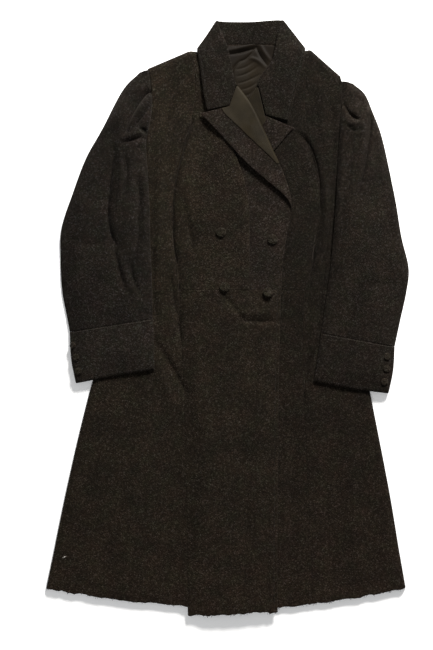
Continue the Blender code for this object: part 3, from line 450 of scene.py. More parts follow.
def tweed(name, rgb, bump=1.0, size=1.0, shade=None):
    """Dark tweed: twill of two shades, light flecks, a few coloured yarns, mottling; shade adds
    painted light and shade over the coat's height.
    """
    m, tree, shader, place = start_material(name, 0.95, 0.06, 0.05)
    set_inputs(shader, {"Sheen Tint": (0.55, 0.46, 0.38, 1.0)})
    yarn = node(tree, "ShaderNodeTexVoronoi",
                {"Vector": scaled(tree, place, YARN_SIZE * size, YARN_TURN), "Scale": 1.0},
                voronoi_dimensions="2D")
    tone = node(tree, "ShaderNodeSeparateColor", {"Color": yarn.outputs["Color"]})
    fleck = ramp(tree, tone.outputs[0], FLECKS)
    tint = ramp(tree, tone.outputs[1], YARN_TINTS)
    fine = ramp(tree, noise(tree, place, GRAIN_SIZE * size, 3.0), GRAIN)
    broad = ramp(tree, noise(tree, place, MOTTLE_SIZE, 3.0), MOTTLE)
    hue = ramp(tree, noise(tree, place, HUE_SIZE, 2.0, HUE_TURN), HUES)
    twill = node(tree, "ShaderNodeTexWave",
                 {"Vector": scaled(tree, place, TWILL_SIZE * size), "Scale": 0.5,
                  "Distortion": 1.6, "Detail": 1.0, "Detail Scale": 1.4},
                 wave_type="BANDS", bands_direction="DIAGONAL").outputs["Color"]
    colour = (*rgb, 1.0)
    for layer in (fleck, tint, fine, broad, hue):
        colour = multiply(tree, 1.0, colour, layer)
    colour = multiply(tree, TWILL_SHARE, colour, twill)
    if shade:
        colour = graded(tree, colour, *shade)
    height = maths(tree, "SUBTRACT", twill, maths(tree, "MULTIPLY", yarn.outputs["Distance"], KNOT))
    height = maths(tree, "ADD", height, fine)
    end_material(tree, shader, colour, height, 0.55 * bump, TWEED_RELIEF)
    return m


def satin(name, rgb, rough, specular, rib, mottle, shade=None):
    """Plain silk or sateen with fine ribs and a little wear; shade adds painted shade over the
    coat's height.
    """
    m, tree, shader, place = start_material(name, rough, specular, 0.04)
    set_inputs(shader, {"Sheen Tint": (0.8, 0.7, 0.55, 1.0), "Anisotropic": 0.35})
    worn = ramp(tree, noise(tree, place, WEAR_SIZE, 3.0),
                [(0.3, (1 - mottle,) * 3), (0.7, (1 + mottle,) * 3)])
    ribs = node(tree, "ShaderNodeTexWave",
                {"Vector": scaled(tree, place, rib, RIB_TURN), "Scale": 0.5, "Distortion": 0.7,
                 "Detail": 1.0}, wave_type="BANDS", bands_direction="Y").outputs["Color"]
    grain = noise(tree, place, SILK_GRAIN, 2.0)
    colour = multiply(tree, 1.0, (*rgb, 1.0), worn)
    colour = multiply(tree, RIB_SHARE, colour, ribs)
    if shade:
        colour = graded(tree, colour, *shade)
    end_material(tree, shader, colour, maths(tree, "ADD", ribs, grain), 0.30, SILK_RELIEF)
    rough_map = ramp(tree, grain, [(0.3, (rough - 0.06,) * 3), (0.7, (rough + 0.08,) * 3)])
    tree.links.new(rough_map, shader.inputs["Roughness"])
    return m


def thread(name, rgb):
    m, tree, shader, _ = start_material(name, 0.75, 0.2, 0.1)
    place = node(tree, "ShaderNodeTexCoord").outputs["Object"]
    twist = node(tree, "ShaderNodeTexNoise", {"Vector": place, "Scale": 2500.0,
                                              "Detail": 1.0}).outputs["Fac"]
    colour = multiply(tree, 1.0, (*rgb, 1.0), ramp(tree, twist, [(0.3, 0.7), (0.7, 1.3)]))
    end_material(tree, shader, colour, twist, 0.4, THREAD_RELIEF)
    return m


# Key, mean colour, and other values for each part; some of these tones are painted shade and light
TWEEDS = [
    ("chest", (0.0106, 0.0080, 0.0053), {}),
    # painted shade: the wearer's left front, the under front, is a darker copy of the chest
    ("chest_left_painted_shade", (0.0066, 0.0051, 0.0036), {}),
    # painted light: the right skirt grows lighter towards the hem
    ("skirt", (0.0103, 0.0077, 0.0051), {"shade": (-330.0, -565.0, (1.22, 1.14, 1.14))}),
    # painted shade: the under front's skirt starts as dark as its chest at the waist and grows
    # lighter towards the hem
    ("skirt_left", (0.0067, 0.0051, 0.0035), {"shade": (20.0, -565.0, (1.82, 1.66, 1.62))}),
    ("cuff_right", (0.0104, 0.0083, 0.0064), {}),
    # the sleeves' tones are partly their own and partly darkened for the shade in their folds,
    # painted shade
    ("sleeve_right", (0.0080, 0.0064, 0.0051), {}),
    ("sleeve_left", (0.0085, 0.0065, 0.0048), {}),
    ("lapel", (0.0106, 0.0080, 0.0060), {}),
    ("collar", (0.0074, 0.0059, 0.0043), {}),
    ("back", (0.0102, 0.0075, 0.0053), {}),
    ("button", (0.0142, 0.0116, 0.0080), {"bump": 1.6, "size": 0.8}),
]
LOOKS = {key: tweed("tweed_" + key, rgb, **more) for key, rgb, more in TWEEDS}
LOOKS.update({
    "silk": satin("silk_facing", (0.0140, 0.0106, 0.0055), 0.62, 0.08, 0.9, 0.24),
    # painted shade: the facing on the wearer's left lapel, on the under front, is a darker copy of
    # the silk
    "silk_under_painted_shade": satin("silk_facing_under_painted_shade", (0.0098, 0.0074, 0.0039), 0.62, 0.08, 0.9, 0.24),
    # painted shade: the lining darkens at its top, under the collar's stand
    "lining": satin("lining_satin", (0.0098, 0.0070, 0.0038), 0.62, 0.08, 0.7, 0.20,
                    (474.0, 500.0, (0.52, 0.47, 0.44))),
    "thread": thread("dark_thread", (0.010, 0.008, 0.006)),
    "light_thread": thread("light_thread", (0.034, 0.027, 0.020)),
    "lint": thread("white_lint", (0.45, 0.42, 0.38)),
})


# Grids, the same as in the solids, with closer points
def metres(p):
    return ((float(p[0]) + SHIFT[0]) * MM, (float(p[1]) + SHIFT[1]) * MM, float(p[2]) * MM)


def smooth_rows(points, k):
    """Catmull-Rom through the points, k steps a gap."""
    p = np.array(points, float)
    ext = np.vstack([2 * p[0] - p[1], p, 2 * p[-1] - p[-2]])
    out = []
    for i in range(len(p) - 1):
        a, b, c, d = ext[i:i + 4]
        for j in range(k):
            t = j / k
            out.append(0.5 * (2 * b + (c - a) * t + (2 * a - 5 * b + 4 * c - d) * t * t
                              + (3 * b - a - 3 * c + d) * t ** 3))
    out.append(p[-1])
    return np.array(out)


def column(table, index, k):
    """One column of a table as a smooth line."""
    return smooth_rows([row[index] for row in table], k)


def table_grid(table, k, cells):
    """Grid through the first columns of a table."""
    return across([column(table, i, k) for i in range(len(cells) + 1)], cells)


def ease(q):
    """Quarter round, 0 at the edge and 1 inside."""
    q = np.clip(q, 0.0, 1.0)
    return np.sqrt(1.0 - (1.0 - q) ** 2)


def smooth(q):
    q = np.clip(q, 0.0, 1.0)
    return q * q * (3 - 2 * q)


class Heap:
    """Heights of all that lies below, on an even grid."""

    def __init__(self):
        self.top = np.zeros((int(2 * SPAN_X / CELL), int(2 * SPAN_Y / CELL)))

    def copy(self):
        other = Heap()
        other.top = self.top.copy()
        return other

    def add(self, lower, upper, n=3):
        """Mark a grid of points: the higher of both faces counts."""
        for p in (lower, upper):
            for a in range(n):
                for b in range(n):
                    u, v = (a + 0.5) / n, (b + 0.5) / n
                    q = ((1 - u) * (1 - v) * p[:-1, :-1] + u * (1 - v) * p[1:, :-1]
                         + (1 - u) * v * p[:-1, 1:] + u * v * p[1:, 1:])
                    i = ((q[..., 0] + SPAN_X) / CELL).astype(int).ravel()
                    j = ((q[..., 1] + SPAN_Y) / CELL).astype(int).ravel()
                    np.maximum.at(self.top, (i, j), q[..., 2].ravel())

    def field(self, reach, soft):
        """Highest value within reach, then blurred."""
        n = int(math.ceil(reach / CELL))
        h = self.top.copy()
        for a in range(-n, n + 1):
            for b in range(-n, n + 1):
                if a * a + b * b <= (reach / CELL) ** 2:
                    h = np.maximum(h, np.roll(np.roll(self.top, a, 0), b, 1))
        n = max(1, int(round(soft / CELL)))
        for axis in (0, 1):
            h = sum(np.roll(h, s, axis) for s in range(-n, n + 1)) / (2 * n + 1)
        return h

    def under(self, p, reach, soft):
        """Height below each point, from the field."""
        return self.read(self.field(reach, soft), p)

    def rest(self, p, reach, soft):
        """Height at which cloth rests, with air only where something lies below."""
        z = self.under(p, reach, soft)
        return z + AIR * np.clip(z / 0.5, 0, 1)

    @staticmethod
    def read(h, p):
        fx = (p[..., 0] + SPAN_X) / CELL - 0.5
        fy = (p[..., 1] + SPAN_Y) / CELL - 0.5
        i, j = np.floor(fx).astype(int), np.floor(fy).astype(int)
        u, v = fx - i, fy - j
        return ((1 - u) * (1 - v) * h[i, j] + u * (1 - v) * h[i + 1, j]
                + (1 - u) * v * h[i, j + 1] + u * v * h[i + 1, j + 1])


def line_distance(p, line):
    """Distance in plan from each point to a polyline."""
    best = np.full(p.shape[:-1], 1e9)
    for a, b in zip(line[:-1], line[1:]):
        ab = b - a
        t = np.clip(((p - a) @ ab) / max(ab @ ab, 1e-9), 0, 1)
        best = np.minimum(best, np.linalg.norm(p - (a + t[..., None] * ab), axis=-1))
    return best


def fold_lift(p, folds):
    """Height of the folds at each point."""
    z = np.zeros(p.shape[:-1])
    t = np.linspace(0, 1, 11)[:, None]
    for x0, y0, x1, y1, x2, y2, left, right, height in folds:
        a, m, b = np.array([(x0, y0), (x1, y1), (x2, y2)], float)
        line = (1 - t) ** 2 * a + 2 * t * (1 - t) * (2 * m - (a + b) / 2) + t * t * b
        best, along, side = np.full(z.shape, 1e9), np.zeros(z.shape), np.zeros(z.shape)
        for i, (c, d) in enumerate(zip(line[:-1], line[1:])):
            cd = d - c
            q = np.clip(((p - c) @ cd) / (cd @ cd), 0, 1)
            off = p - (c + q[..., None] * cd)
            away = np.linalg.norm(off, axis=-1)
            near = away < best
            best = np.where(near, away, best)
            along = np.where(near, (i + q) / 10, along)
            side = np.where(near, cd[0] * off[..., 1] - cd[1] * off[..., 0], side)
        half = np.where(side > 0, left, right)
        shape = np.exp(-(best / half) ** (1.5 if height < 0 else 2))
        z += height * shape * np.sqrt(np.sin(np.pi * (0.05 + 0.9 * along)))
    return z


def lumps(p, size, seed):
    """Soft uneven relief from -1 to 1, of that size in millimetres."""
    table = np.random.default_rng(seed).uniform(-1, 1, (64, 64))
    q = p[..., :2] / size + 100.0
    i = np.floor(q).astype(int)
    f = q - i
    f = f ** 3 * (f * (f * 6 - 15) + 10)
    i, j, u, v = i[..., 0] % 63, i[..., 1] % 63, f[..., 0], f[..., 1]
    return ((1 - u) * (1 - v) * table[i, j] + u * (1 - v) * table[i + 1, j]
            + (1 - u) * v * table[i, j + 1] + u * v * table[i + 1, j + 1])


def handled(p, seed, amount=1.0):
    """The slight unevenness of cloth that has been worn and laid down by hand."""
    return amount * (0.42 * lumps(p, 46, seed) + 0.26 * lumps(p, 21, seed + 1)
                     + 0.12 * lumps(p, 9, seed + 2))


def across(lines, cells):
    """Grid between lines, with so many cells between neighbours."""
    cols = []
    for a, b, n in zip(lines[:-1], lines[1:], cells):
        cols += [a + (b - a) * (i / n) for i in range(n)]
    cols.append(lines[-1])
    return np.stack(cols, axis=1)


def turned(grid, side):
    """The grid with that side as its first column, and how to turn it back."""
    if side == "left":
        return grid, lambda g: g
    if side == "right":
        return grid[:, ::-1], lambda g: g[:, ::-1]
    if side == "start":
        return grid.transpose(1, 0, 2), lambda g: g.transpose(1, 0, 2)
    return grid.transpose(1, 0, 2)[:, ::-1], lambda g: g[:, ::-1].transpose(1, 0, 2)


def near_edges(grid, sides=SIDES):
    """Extra points close to sides of a grid."""
    for side in sides:
        g, back = turned(grid, side)
        first, second = g[:, 0], g[:, 1]
        length = np.linalg.norm(second - first, axis=-1, keepdims=True)
        extra = [first + (second - first) * np.minimum(s / length, 0.9 * s / EDGE_STEPS[-1])
                 for s in EDGE_STEPS]
        grid = back(np.concatenate([first[:, None], np.stack(extra, axis=1), g[:, 1:]], axis=1))
    return grid


def pull_in(grid, side, amount):
    """Move one side of a grid inwards, by one amount or one for each point."""
    g, back = turned(grid, side)
    g = g.copy()
    d = g[:, 1] - g[:, 0]
    d = d / np.linalg.norm(d, axis=-1, keepdims=True) * np.reshape(amount, (-1, 1))
    g += d[:, None] * (1 - np.linspace(0, 1, g.shape[1]))[None, :, None]
    return back(g)


def side_line(grid, side):
    return turned(grid, side)[0][:, 0]


def down_rows(grid):
    """How far down the grid each row is, 0 to 1, as a column."""
    return np.linspace(0, 1, grid.shape[0])[:, None]


def normals(p):
    """Unit normals of a grid of points."""
    n = np.cross(np.gradient(p, axis=1), np.gradient(p, axis=0))
    return n / np.maximum(np.linalg.norm(n, axis=-1, keepdims=True), 1e-9)


def lengths(p):
    """How far each point is along its row and its column."""
    a = np.cumsum(np.linalg.norm(np.diff(p, axis=1), axis=-1), axis=1)
    b = np.cumsum(np.linalg.norm(np.diff(p, axis=0), axis=-1), axis=0)
    return (np.concatenate([np.zeros((p.shape[0], 1)), a], axis=1),
            np.concatenate([np.zeros((1, p.shape[1])), b], axis=0))


def faces_up(points):
    """Sign that makes the normals of a grid point upwards."""
    a = points[0, 0, :2] - points[-1, 0, :2]
    b = points[0, -1, :2] - points[0, 0, :2] + points[-1, -1, :2] - points[-1, 0, :2]
    return 1 if (b[0] * -a[1] + b[1] * a[0]) > 0 else -1


made = {}


def add_object(name, data, place=(0, 0, 0)):
    ob = bpy.data.objects.new(name, data)
    ob.location = place
    bpy.context.scene.collection.objects.link(ob)
    return ob


def finish_mesh(name, verts, faces, look, nodes_replaced, weave=None):
    """A mesh object that rides on the coat, with its cloth coordinates."""
    mesh = bpy.data.meshes.new(name)
    mesh.from_pydata(verts, [], faces)
    mesh.materials.append(LOOKS[look])
    mesh.polygons.foreach_set("use_smooth", [True] * len(mesh.polygons))
    if weave is None:
        weave = [(v[0], v[1], 0.0) for v in verts]
    spots = mesh.attributes.new("cloth", "FLOAT_VECTOR", "POINT")
    spots.data.foreach_set("vector", np.array(weave, np.float32).ravel())
    ob = add_object(name, mesh)
    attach(ob, "root")
    if nodes_replaced:
        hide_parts(*nodes_replaced)
    return ob


EDGE_SOFT = {"seam": (2.0, 0.26), "pressed": (1.4, 0.16), "fold": (3.0, 0.35),
             "raw": (0.8, 0.30), "bagged": (2.2, 0.30)}


def cloth(name, points, thick, away, look, kinds, turn=0.0):
    """A thin closed shell on a grid of points, and its two faces as grids. Kinds says what
    each side's edge is: seam, pressed, fold, raw or bagged (two layers sewn and turned)."""
    a, b = lengths(points)
    near = {"left": a, "right": a[:, -1:] - a, "start": b, "end": b[-1:] - b}
    full = np.ones(a.shape)
    for side, kind in kinds.items():
        width, drop = EDGE_SOFT[kind]
        full = np.minimum(full, 1 - drop * (1 - ease(near[side] / width)))
    n = normals(points) * away
    outer = points + n * (thick * full)[..., None]
    rows, cols = a.shape
    ring = ([(0, j) for j in range(cols)] + [(i, cols - 1) for i in range(1, rows)]
            + [(rows - 1, j) for j in range(cols - 2, -1, -1)]
            + [(i, 0) for i in range(rows - 2, 0, -1)])
    rim = []
    for i, j in ring:
        out = points[i, j] - points[min(max(i, 1), rows - 2), min(max(j, 1), cols - 2)]
        out = out - n[i, j] * (out @ n[i, j])
        out /= max(np.linalg.norm(out), 1e-6)
        rim.append((points[i, j] + outer[i, j]) / 2 + out * RIM_OUT * thick)
    count = rows * cols
    verts = [metres(p) for p in np.concatenate([points.reshape(-1, 3), outer.reshape(-1, 3),
                                                np.array(rim)])]
    faces = []
    for i in range(rows - 1):
        for j in range(cols - 1):
            q = i * cols + j
            quad = (q, q + 1, q + cols + 1, q + cols)
            upper = tuple(v + count for v in quad)
            faces += [quad[::-1], upper] if away > 0 else [quad, upper[::-1]]
    for k, (i, j) in enumerate(ring):
        m = (k + 1) % len(ring)
        low, low2 = i * cols + j, ring[m][0] * cols + ring[m][1]
        middle, middle2 = 2 * count + k, 2 * count + m
        for quad in ((low, low2, middle2, middle), (middle, middle2, low2 + count, low + count)):
            faces.append(quad if away > 0 else quad[::-1])
    c, s = math.cos(math.radians(turn)), math.sin(math.radians(turn))
    weave = np.stack([c * points[..., 0] + s * points[..., 1],
                      c * points[..., 1] - s * points[..., 0], 0 * a], axis=-1)
    weave = weave.reshape(-1, 3) * MM + WEAVE_SHIFT * len(made)
    rim_weave = np.array([weave[i * cols + j] for i, j in ring])
    ob = finish_mesh(name, verts, faces, look, [name],
                     np.concatenate([weave, weave, rim_weave]))
    made[name] = {"object": ob, "outer": outer}
    return points, outer


def lay(name, grid, heap, look, turn, reach=24.0, soft=16.0, thick=WOOL,
        rolled=(), seams=(), folds=(), puff=0.0, seat=None, beside=None, seed=1,
        rough=1.0, kind="seam", taper=(1.0, 1.0), armhole=None, brim=None):
    """Lay a flat grid on the heap and make it a cloth. Rolled sides are folded edges,
    seat and beside lower it to the heap beside the body, taper is the share of the loft at
    both ends, armhole a side sewn to the body and how much wider its rounding is there,
    brim the highest that the edges stand along the armhole."""
    for side in seams:
        grid = pull_in(grid, side, SEAM_GAP)
    sewn = smooth((ARMHOLE - down_rows(grid)[:, 0]) / ARMHOLE_END)
    for side in rolled:
        amount = thick
        if armhole and side == armhole[0]:
            amount = amount + (SEAM_GAP - amount) * sewn
        grid = pull_in(grid, side, amount)
    grid = near_edges(grid)
    along = down_rows(grid)
    z = heap.rest(grid, reach, soft)
    if seat is not None:
        other = beside.under(grid, reach, soft) + AIR
        s = np.interp(along, np.linspace(0, 1, len(seat)), seat)
        z = np.maximum(other, other * (1 - s) + z * s)
    if rolled:
        away = {s: line_distance(grid, side_line(grid, s)) for s in rolled}
        if armhole:
            side, stretch = armhole
            away[side] = away[side] * (1 + stretch * smooth((ARMHOLE - along) / ARMHOLE_END))
        d = np.min(list(away.values()), axis=0)
        k = ease(d / (EDGE_ROLL if len(rolled) < 3 else EDGE_ROLL / 2))
        share = np.interp(along, (0.0, TAPER_FROM, 1.0), (taper[0], taper[0], taper[1]))
        edge = np.minimum(z, heap.under(grid, *NEAR) + AIR)
        if brim:
            lowest = brim + BRIM_RISE * np.maximum(along - BRIM_FROM, 0.0)
            edge = edge - np.maximum(edge - lowest, 0.0) * smooth((BRIM_END - along) / BRIM_FADE)
        lift = (fold_lift(grid, folds) + handled(grid, seed, rough)
                + puff * share * np.clip(d / LOFT_WIDTH, 0, 1) ** LOFT_CURVE)
        z = edge + (z - edge) * k + np.maximum(lift, 0.02) * k
    elif len(folds) or puff:
        z = z + np.maximum(fold_lift(grid, folds) + handled(grid, seed, rough) + puff, 0.0)
    points = np.concatenate([grid, z[..., None]], axis=-1)
    kinds = {s: "fold" if s in rolled else kind for s in SIDES}
    return cloth(name, points, thick, faces_up(points), look, kinds, turn)


def panel(name, grid, under, look, rolled_to=0, roll_top=False, front_edge=False, raw_end=False,
          seed=1, groove=None):
    """A body panel: outer edge at the left of its grid, seam at the right. The outer edge
    is folded down to the row rolled_to."""
    rows = grid.shape[0]
    rolling = (np.arange(rows) <= rolled_to) * 1.0 if rolled_to else np.zeros(rows)
    amount = WOOL * rolling + SEAM_GAP * (1 - rolling)
    grid = pull_in(grid, "left", amount)
    grid = pull_in(grid, "right", WOOL * 0.5 if front_edge else SEAM_GAP)
    if roll_top:
        grid = pull_in(grid, "end", WOOL)
    if raw_end:
        ragged = np.stack([0 * grid[-1, :, 0], lumps(grid[-1], 9.0, seed + 3)
                           + 0.7 * lumps(grid[-1], 4.0, seed + 4)], axis=-1)
        fade = np.linspace(0, 1, HEM_ROWS)[:, None, None] ** 2
        if front_edge and groove:
            near = smooth((TAB[0] - line_distance(grid[-1], grid[:, -1])) / 2.0 + 0.5)
            ragged[:, 1] -= near * TAB[1] / HEM_RAGGED
        grid[-HEM_ROWS:] = grid[-HEM_ROWS:] + HEM_RAGGED * fade * ragged[None]
    grid = near_edges(grid)
    stop = min(rolled_to + len(EDGE_STEPS), grid.shape[0] - 1)
    z = under.rest(grid, *BODY_REACH)
    edge = np.minimum(under.under(grid, *NEAR) + AIR, z)
    k = np.ones(z.shape)
    if rolled_to:
        k = np.minimum(k, ease(line_distance(grid, grid[:stop + 1, 0]) / EDGE_ROLL))
    if roll_top:
        k = np.minimum(k, ease(line_distance(grid, grid[-1]) / EDGE_ROLL))
    lift = np.maximum(fold_lift(grid, FRONT_FOLDS) + handled(grid, seed) + BODY_PUFF, 0.0)
    if front_edge:
        inwards = smooth(line_distance(grid, grid[:, -1]) / EDGE_LOFT_WIDTH)
        lift *= EDGE_LOFT + (1 - EDGE_LOFT) * inwards
    z = edge + (z - edge) * k + lift * np.minimum(1, k)
    if groove:
        inside, depth, top = groove
        d = line_distance(grid, grid[:, -1])
        fade = smooth((top - grid[..., 1]) / GROOVE_FADE)
        z -= depth * np.exp(-((d - inside) / GROOVE_HALF) ** 2) * fade
    points = np.concatenate([grid, z[..., None]], axis=-1)
    kinds = {"left": "fold" if rolled_to else "seam", "right": "bagged" if front_edge else "seam",
             "start": "pressed", "end": "raw" if raw_end else ("fold" if roll_top else "seam")}
    return cloth(name, points, WOOL, faces_up(points), look, kinds)


def folded(sections, unders, overs, cells, rear=None, opening=None, seed=1):
    """A strip folded along its roll. Its surface is the inner side of the fold. A section
    is neck, roll, middle, edge, turn of the section, share of the fold. unders holds the
    height map below each section's stand, overs the heap below its fall, opening how far
    the fall stands off."""
    n_stand, n_loop, n_fall = cells
    r = FOLD_IN
    bases = []
    for (neck, roll, mid, edge, turn, share), under in zip(sections, unders):
        b = (roll - neck) / np.linalg.norm(roll - neck)
        up, side = math.sin(math.radians(turn)), math.cos(math.radians(turn))
        out = (edge - roll) - b * ((edge - roll) @ b)
        out = out / max(np.linalg.norm(out), 1e-6)
        w = np.array([out[0] * side, out[1] * side, up])
        centre = roll - b * ((1 - share) * LIP + share * (r + WOOL))
        z_neck = Heap.read(under, neck[None])[0] + AIR + WOOL
        z_roll = Heap.read(under, centre[None])[0] + AIR + WOOL
        if rear is not None:
            k = 0.5 - 0.5 * up
            z_neck = z_neck * (1 - k) + rear[0] * k
            z_roll = z_roll * (1 - k) + rear[1] * k
        bases.append((np.array([neck[0], neck[1], z_neck]),
                      np.array([centre[0], centre[1], z_roll]), np.array([b[0], b[1], 0.0]), w))
    stand = np.array([[n3 + (s3 - n3) * t for t in np.linspace(0, 1, 12)]
                      for n3, s3, b3, w in bases])
    fields = {}
    for below in overs:
        if id(below) not in fields:
            own = below.copy()
            own.add(stand, stand)
            fields[id(below)] = own.field(*FALL_REACH)
    rows = []
    for n, ((neck, roll, mid, edge, turn, share), (n3, s3, b3, w), below) in enumerate(
            zip(sections, bases, overs)):
        over = fields[id(below)]
        row = [n3 + (s3 - n3) * (j / n_stand) for j in range(n_stand)]
        up = w[2]
        lifted = opening[n] if opening is not None else 0.0
        if share > 0.99:
            c3 = s3 + w * r
            row += [c3 - w * r * math.cos(math.pi * j / n_loop)
                    + b3 * r * math.sin(math.pi * j / n_loop) for j in range(n_loop)]
            top = c3 + w * r
            for j in range(n_fall + 1):
                t = 2 * j / n_fall
                q = top[:2] + (mid - top[:2]) * t if t <= 1 else mid + (edge - mid) * (t - 1)
                z_heap = Heap.read(over, q[None])[0] + AIR
                if rear is not None and up < 0.9:
                    z_end = rear[2] * (0.5 - 0.5 * up) + z_heap * (0.5 + 0.5 * up)
                    z = top[2] + (z_end - top[2]) * min(1.0, t / 2)
                else:
                    s = float(smooth(t * 0.8))
                    z = max(z_heap, top[2] * (1 - s) + z_heap * s) if j else top[2]
                row.append(np.array([q[0], q[1], z + lifted * float(smooth(t * 0.58))]))
        else:
            p = s3.copy()
            row.append(p.copy())
            width = np.linalg.norm(edge - roll)
            fall = np.append((edge - roll) / max(width, 1e-6), 0.0)
            bend = max(math.pi * r * share, (LIP - TURN_DOWN) * (1 - share))
            rest = TURN_DOWN * (1 - share) + share * max(width - bend, 0.5)
            for j in range(n_loop + n_fall):
                ang = share * math.pi * min(1.0, (j + 0.5) / n_loop)
                step = bend / n_loop if j < n_loop else rest / n_fall
                level = b3 if math.cos(ang) > 0 else -fall
                p = p + (level * math.cos(ang) + np.array([0, 0, math.sin(ang)])) * step
                row.append(p.copy())
        rows.append(row)
    points = np.array(rows)
    a = lengths(points)[0]
    first = n_stand + n_loop
    turned_part = smooth((a - a[:, first:first + 1]) / 12.0)
    shares = np.clip(np.array([s[5] for s in sections])[:, None] * 2 - 1, 0, 1)
    ups = np.clip(np.array([base[3][2] for base in bases])[:, None], 0, 1)
    points[..., 2] += turned_part * (handled(points, seed, 0.8) + 0.6) * shares * ups
    return points


def strip_cloth(name, points, n_stand, look, turn, start):
    away = -faces_up(points[:, :n_stand + 1])
    kinds = {"left": "seam", "right": "bagged", "start": start, "end": "bagged"}
    cloth(name, near_edges(points), WOOL, away, look, kinds, turn)


def fold_sections(table, k):
    """Sections of a lapel from the bodice table."""
    rows = [r for r in table if r[3] is not None]
    cols = [column(rows, i, k) for i in (2, 3, 4, 5)]
    cols[0] = column(table, 2, k)[:len(cols[1])]
    # the turn of the lapel closes within the first half of the gap after the break
    share = []
    for i in range(len(cols[1])):
        row = min(int(i / k), len(rows) - 2)
        t = i / k - row
        low, high = rows[row][6], rows[row + 1][6]
        share.append(low + (high - low) * float(smooth(t / 0.5) if high > 0.9 else t))
    return list(zip(*cols, [90.0] * len(share), share))


def silk_on(name, lapel, side, reach, look):
    """Facing made from the turned part of a lapel, moved out, and added to the heap."""
    n_stand, n_loop, n_fall = LAPEL_CELLS
    outer = lapel + normals(lapel) * side * (WOOL + AIR)
    first, start = n_stand + n_loop // 2, n_stand + n_loop
    k = K_BODY
    rows = np.arange(int(reach[0][0] * k), int(reach[-1][0] * k) + 1)
    far = np.interp(rows / k, [q for q, f in reach], [f for q, f in reach])
    out = []
    for i, f in zip(rows, far):
        picks = np.concatenate([np.arange(first, start), start + f * n_fall
                                * np.arange(SILK_CELLS + 1) / SILK_CELLS])
        low = np.minimum(picks.astype(int), outer.shape[1] - 2)
        t = (picks - low)[:, None]
        out.append(outer[i][low] * (1 - t) + outer[i][low + 1] * t)
    points = np.array(out)
    points[..., 2] += 0.25 * np.clip(lumps(points, 13, 91), 0, 1)
    points = near_edges(points, SIDES[1:])
    kinds = {"left": "raw", "right": "bagged", "start": "bagged", "end": "bagged"}
    heap.add(*cloth(name, points, SILK, faces_up(points[:, 4:]), look, kinds, 30.0))


heap = Heap()

# Collar first, for the heap: the fall behind the neck lies on the floor
rear_grid = across([np.array([(-46.0, 509), (-9, 507), (46, 507), (97, 507), (131, 509)]),
                    np.array([(-18.0, 560), (2, 560), (46, 560), (84, 560), (100, 560)])], [6])
rear3 = np.concatenate([rear_grid, np.full(rear_grid.shape[:2] + (1,), WOOL)], axis=-1)
heap.add(rear3, rear3, 8)

# Back
back = []
for name, table in (("back_right", BACK_RIGHT), ("back_left", BACK_LEFT)):
    grid = table_grid(table, K_BACK, [14, 14])
    grid = pull_in(grid, "left", BACK_INSET)
    grid = pull_in(grid, "start", BACK_INSET)
    top = grid[-1]
    slope = np.interp(np.abs(top[:, 0] - 46), [50, 62, 200], [0.5, BACK_INSET, BACK_INSET])
    grid = pull_in(grid, "end", np.maximum(slope, top[:, 1] - 520.5))
    back.append(lay(name, grid, heap, "back", 0.0, reach=36.0, seams=("right",)))
for faces in back:
    heap.add(*faces)

# Neck lining
grid = table_grid(NECK_LINING, K_LINING, [34, 34])
heap.add(*lay("neck_lining", grid, heap, "lining", 90.0, reach=20.0, soft=12.0, thick=LINING,
              folds=LINING_FOLDS, puff=3.4, seed=5, rough=0.7))


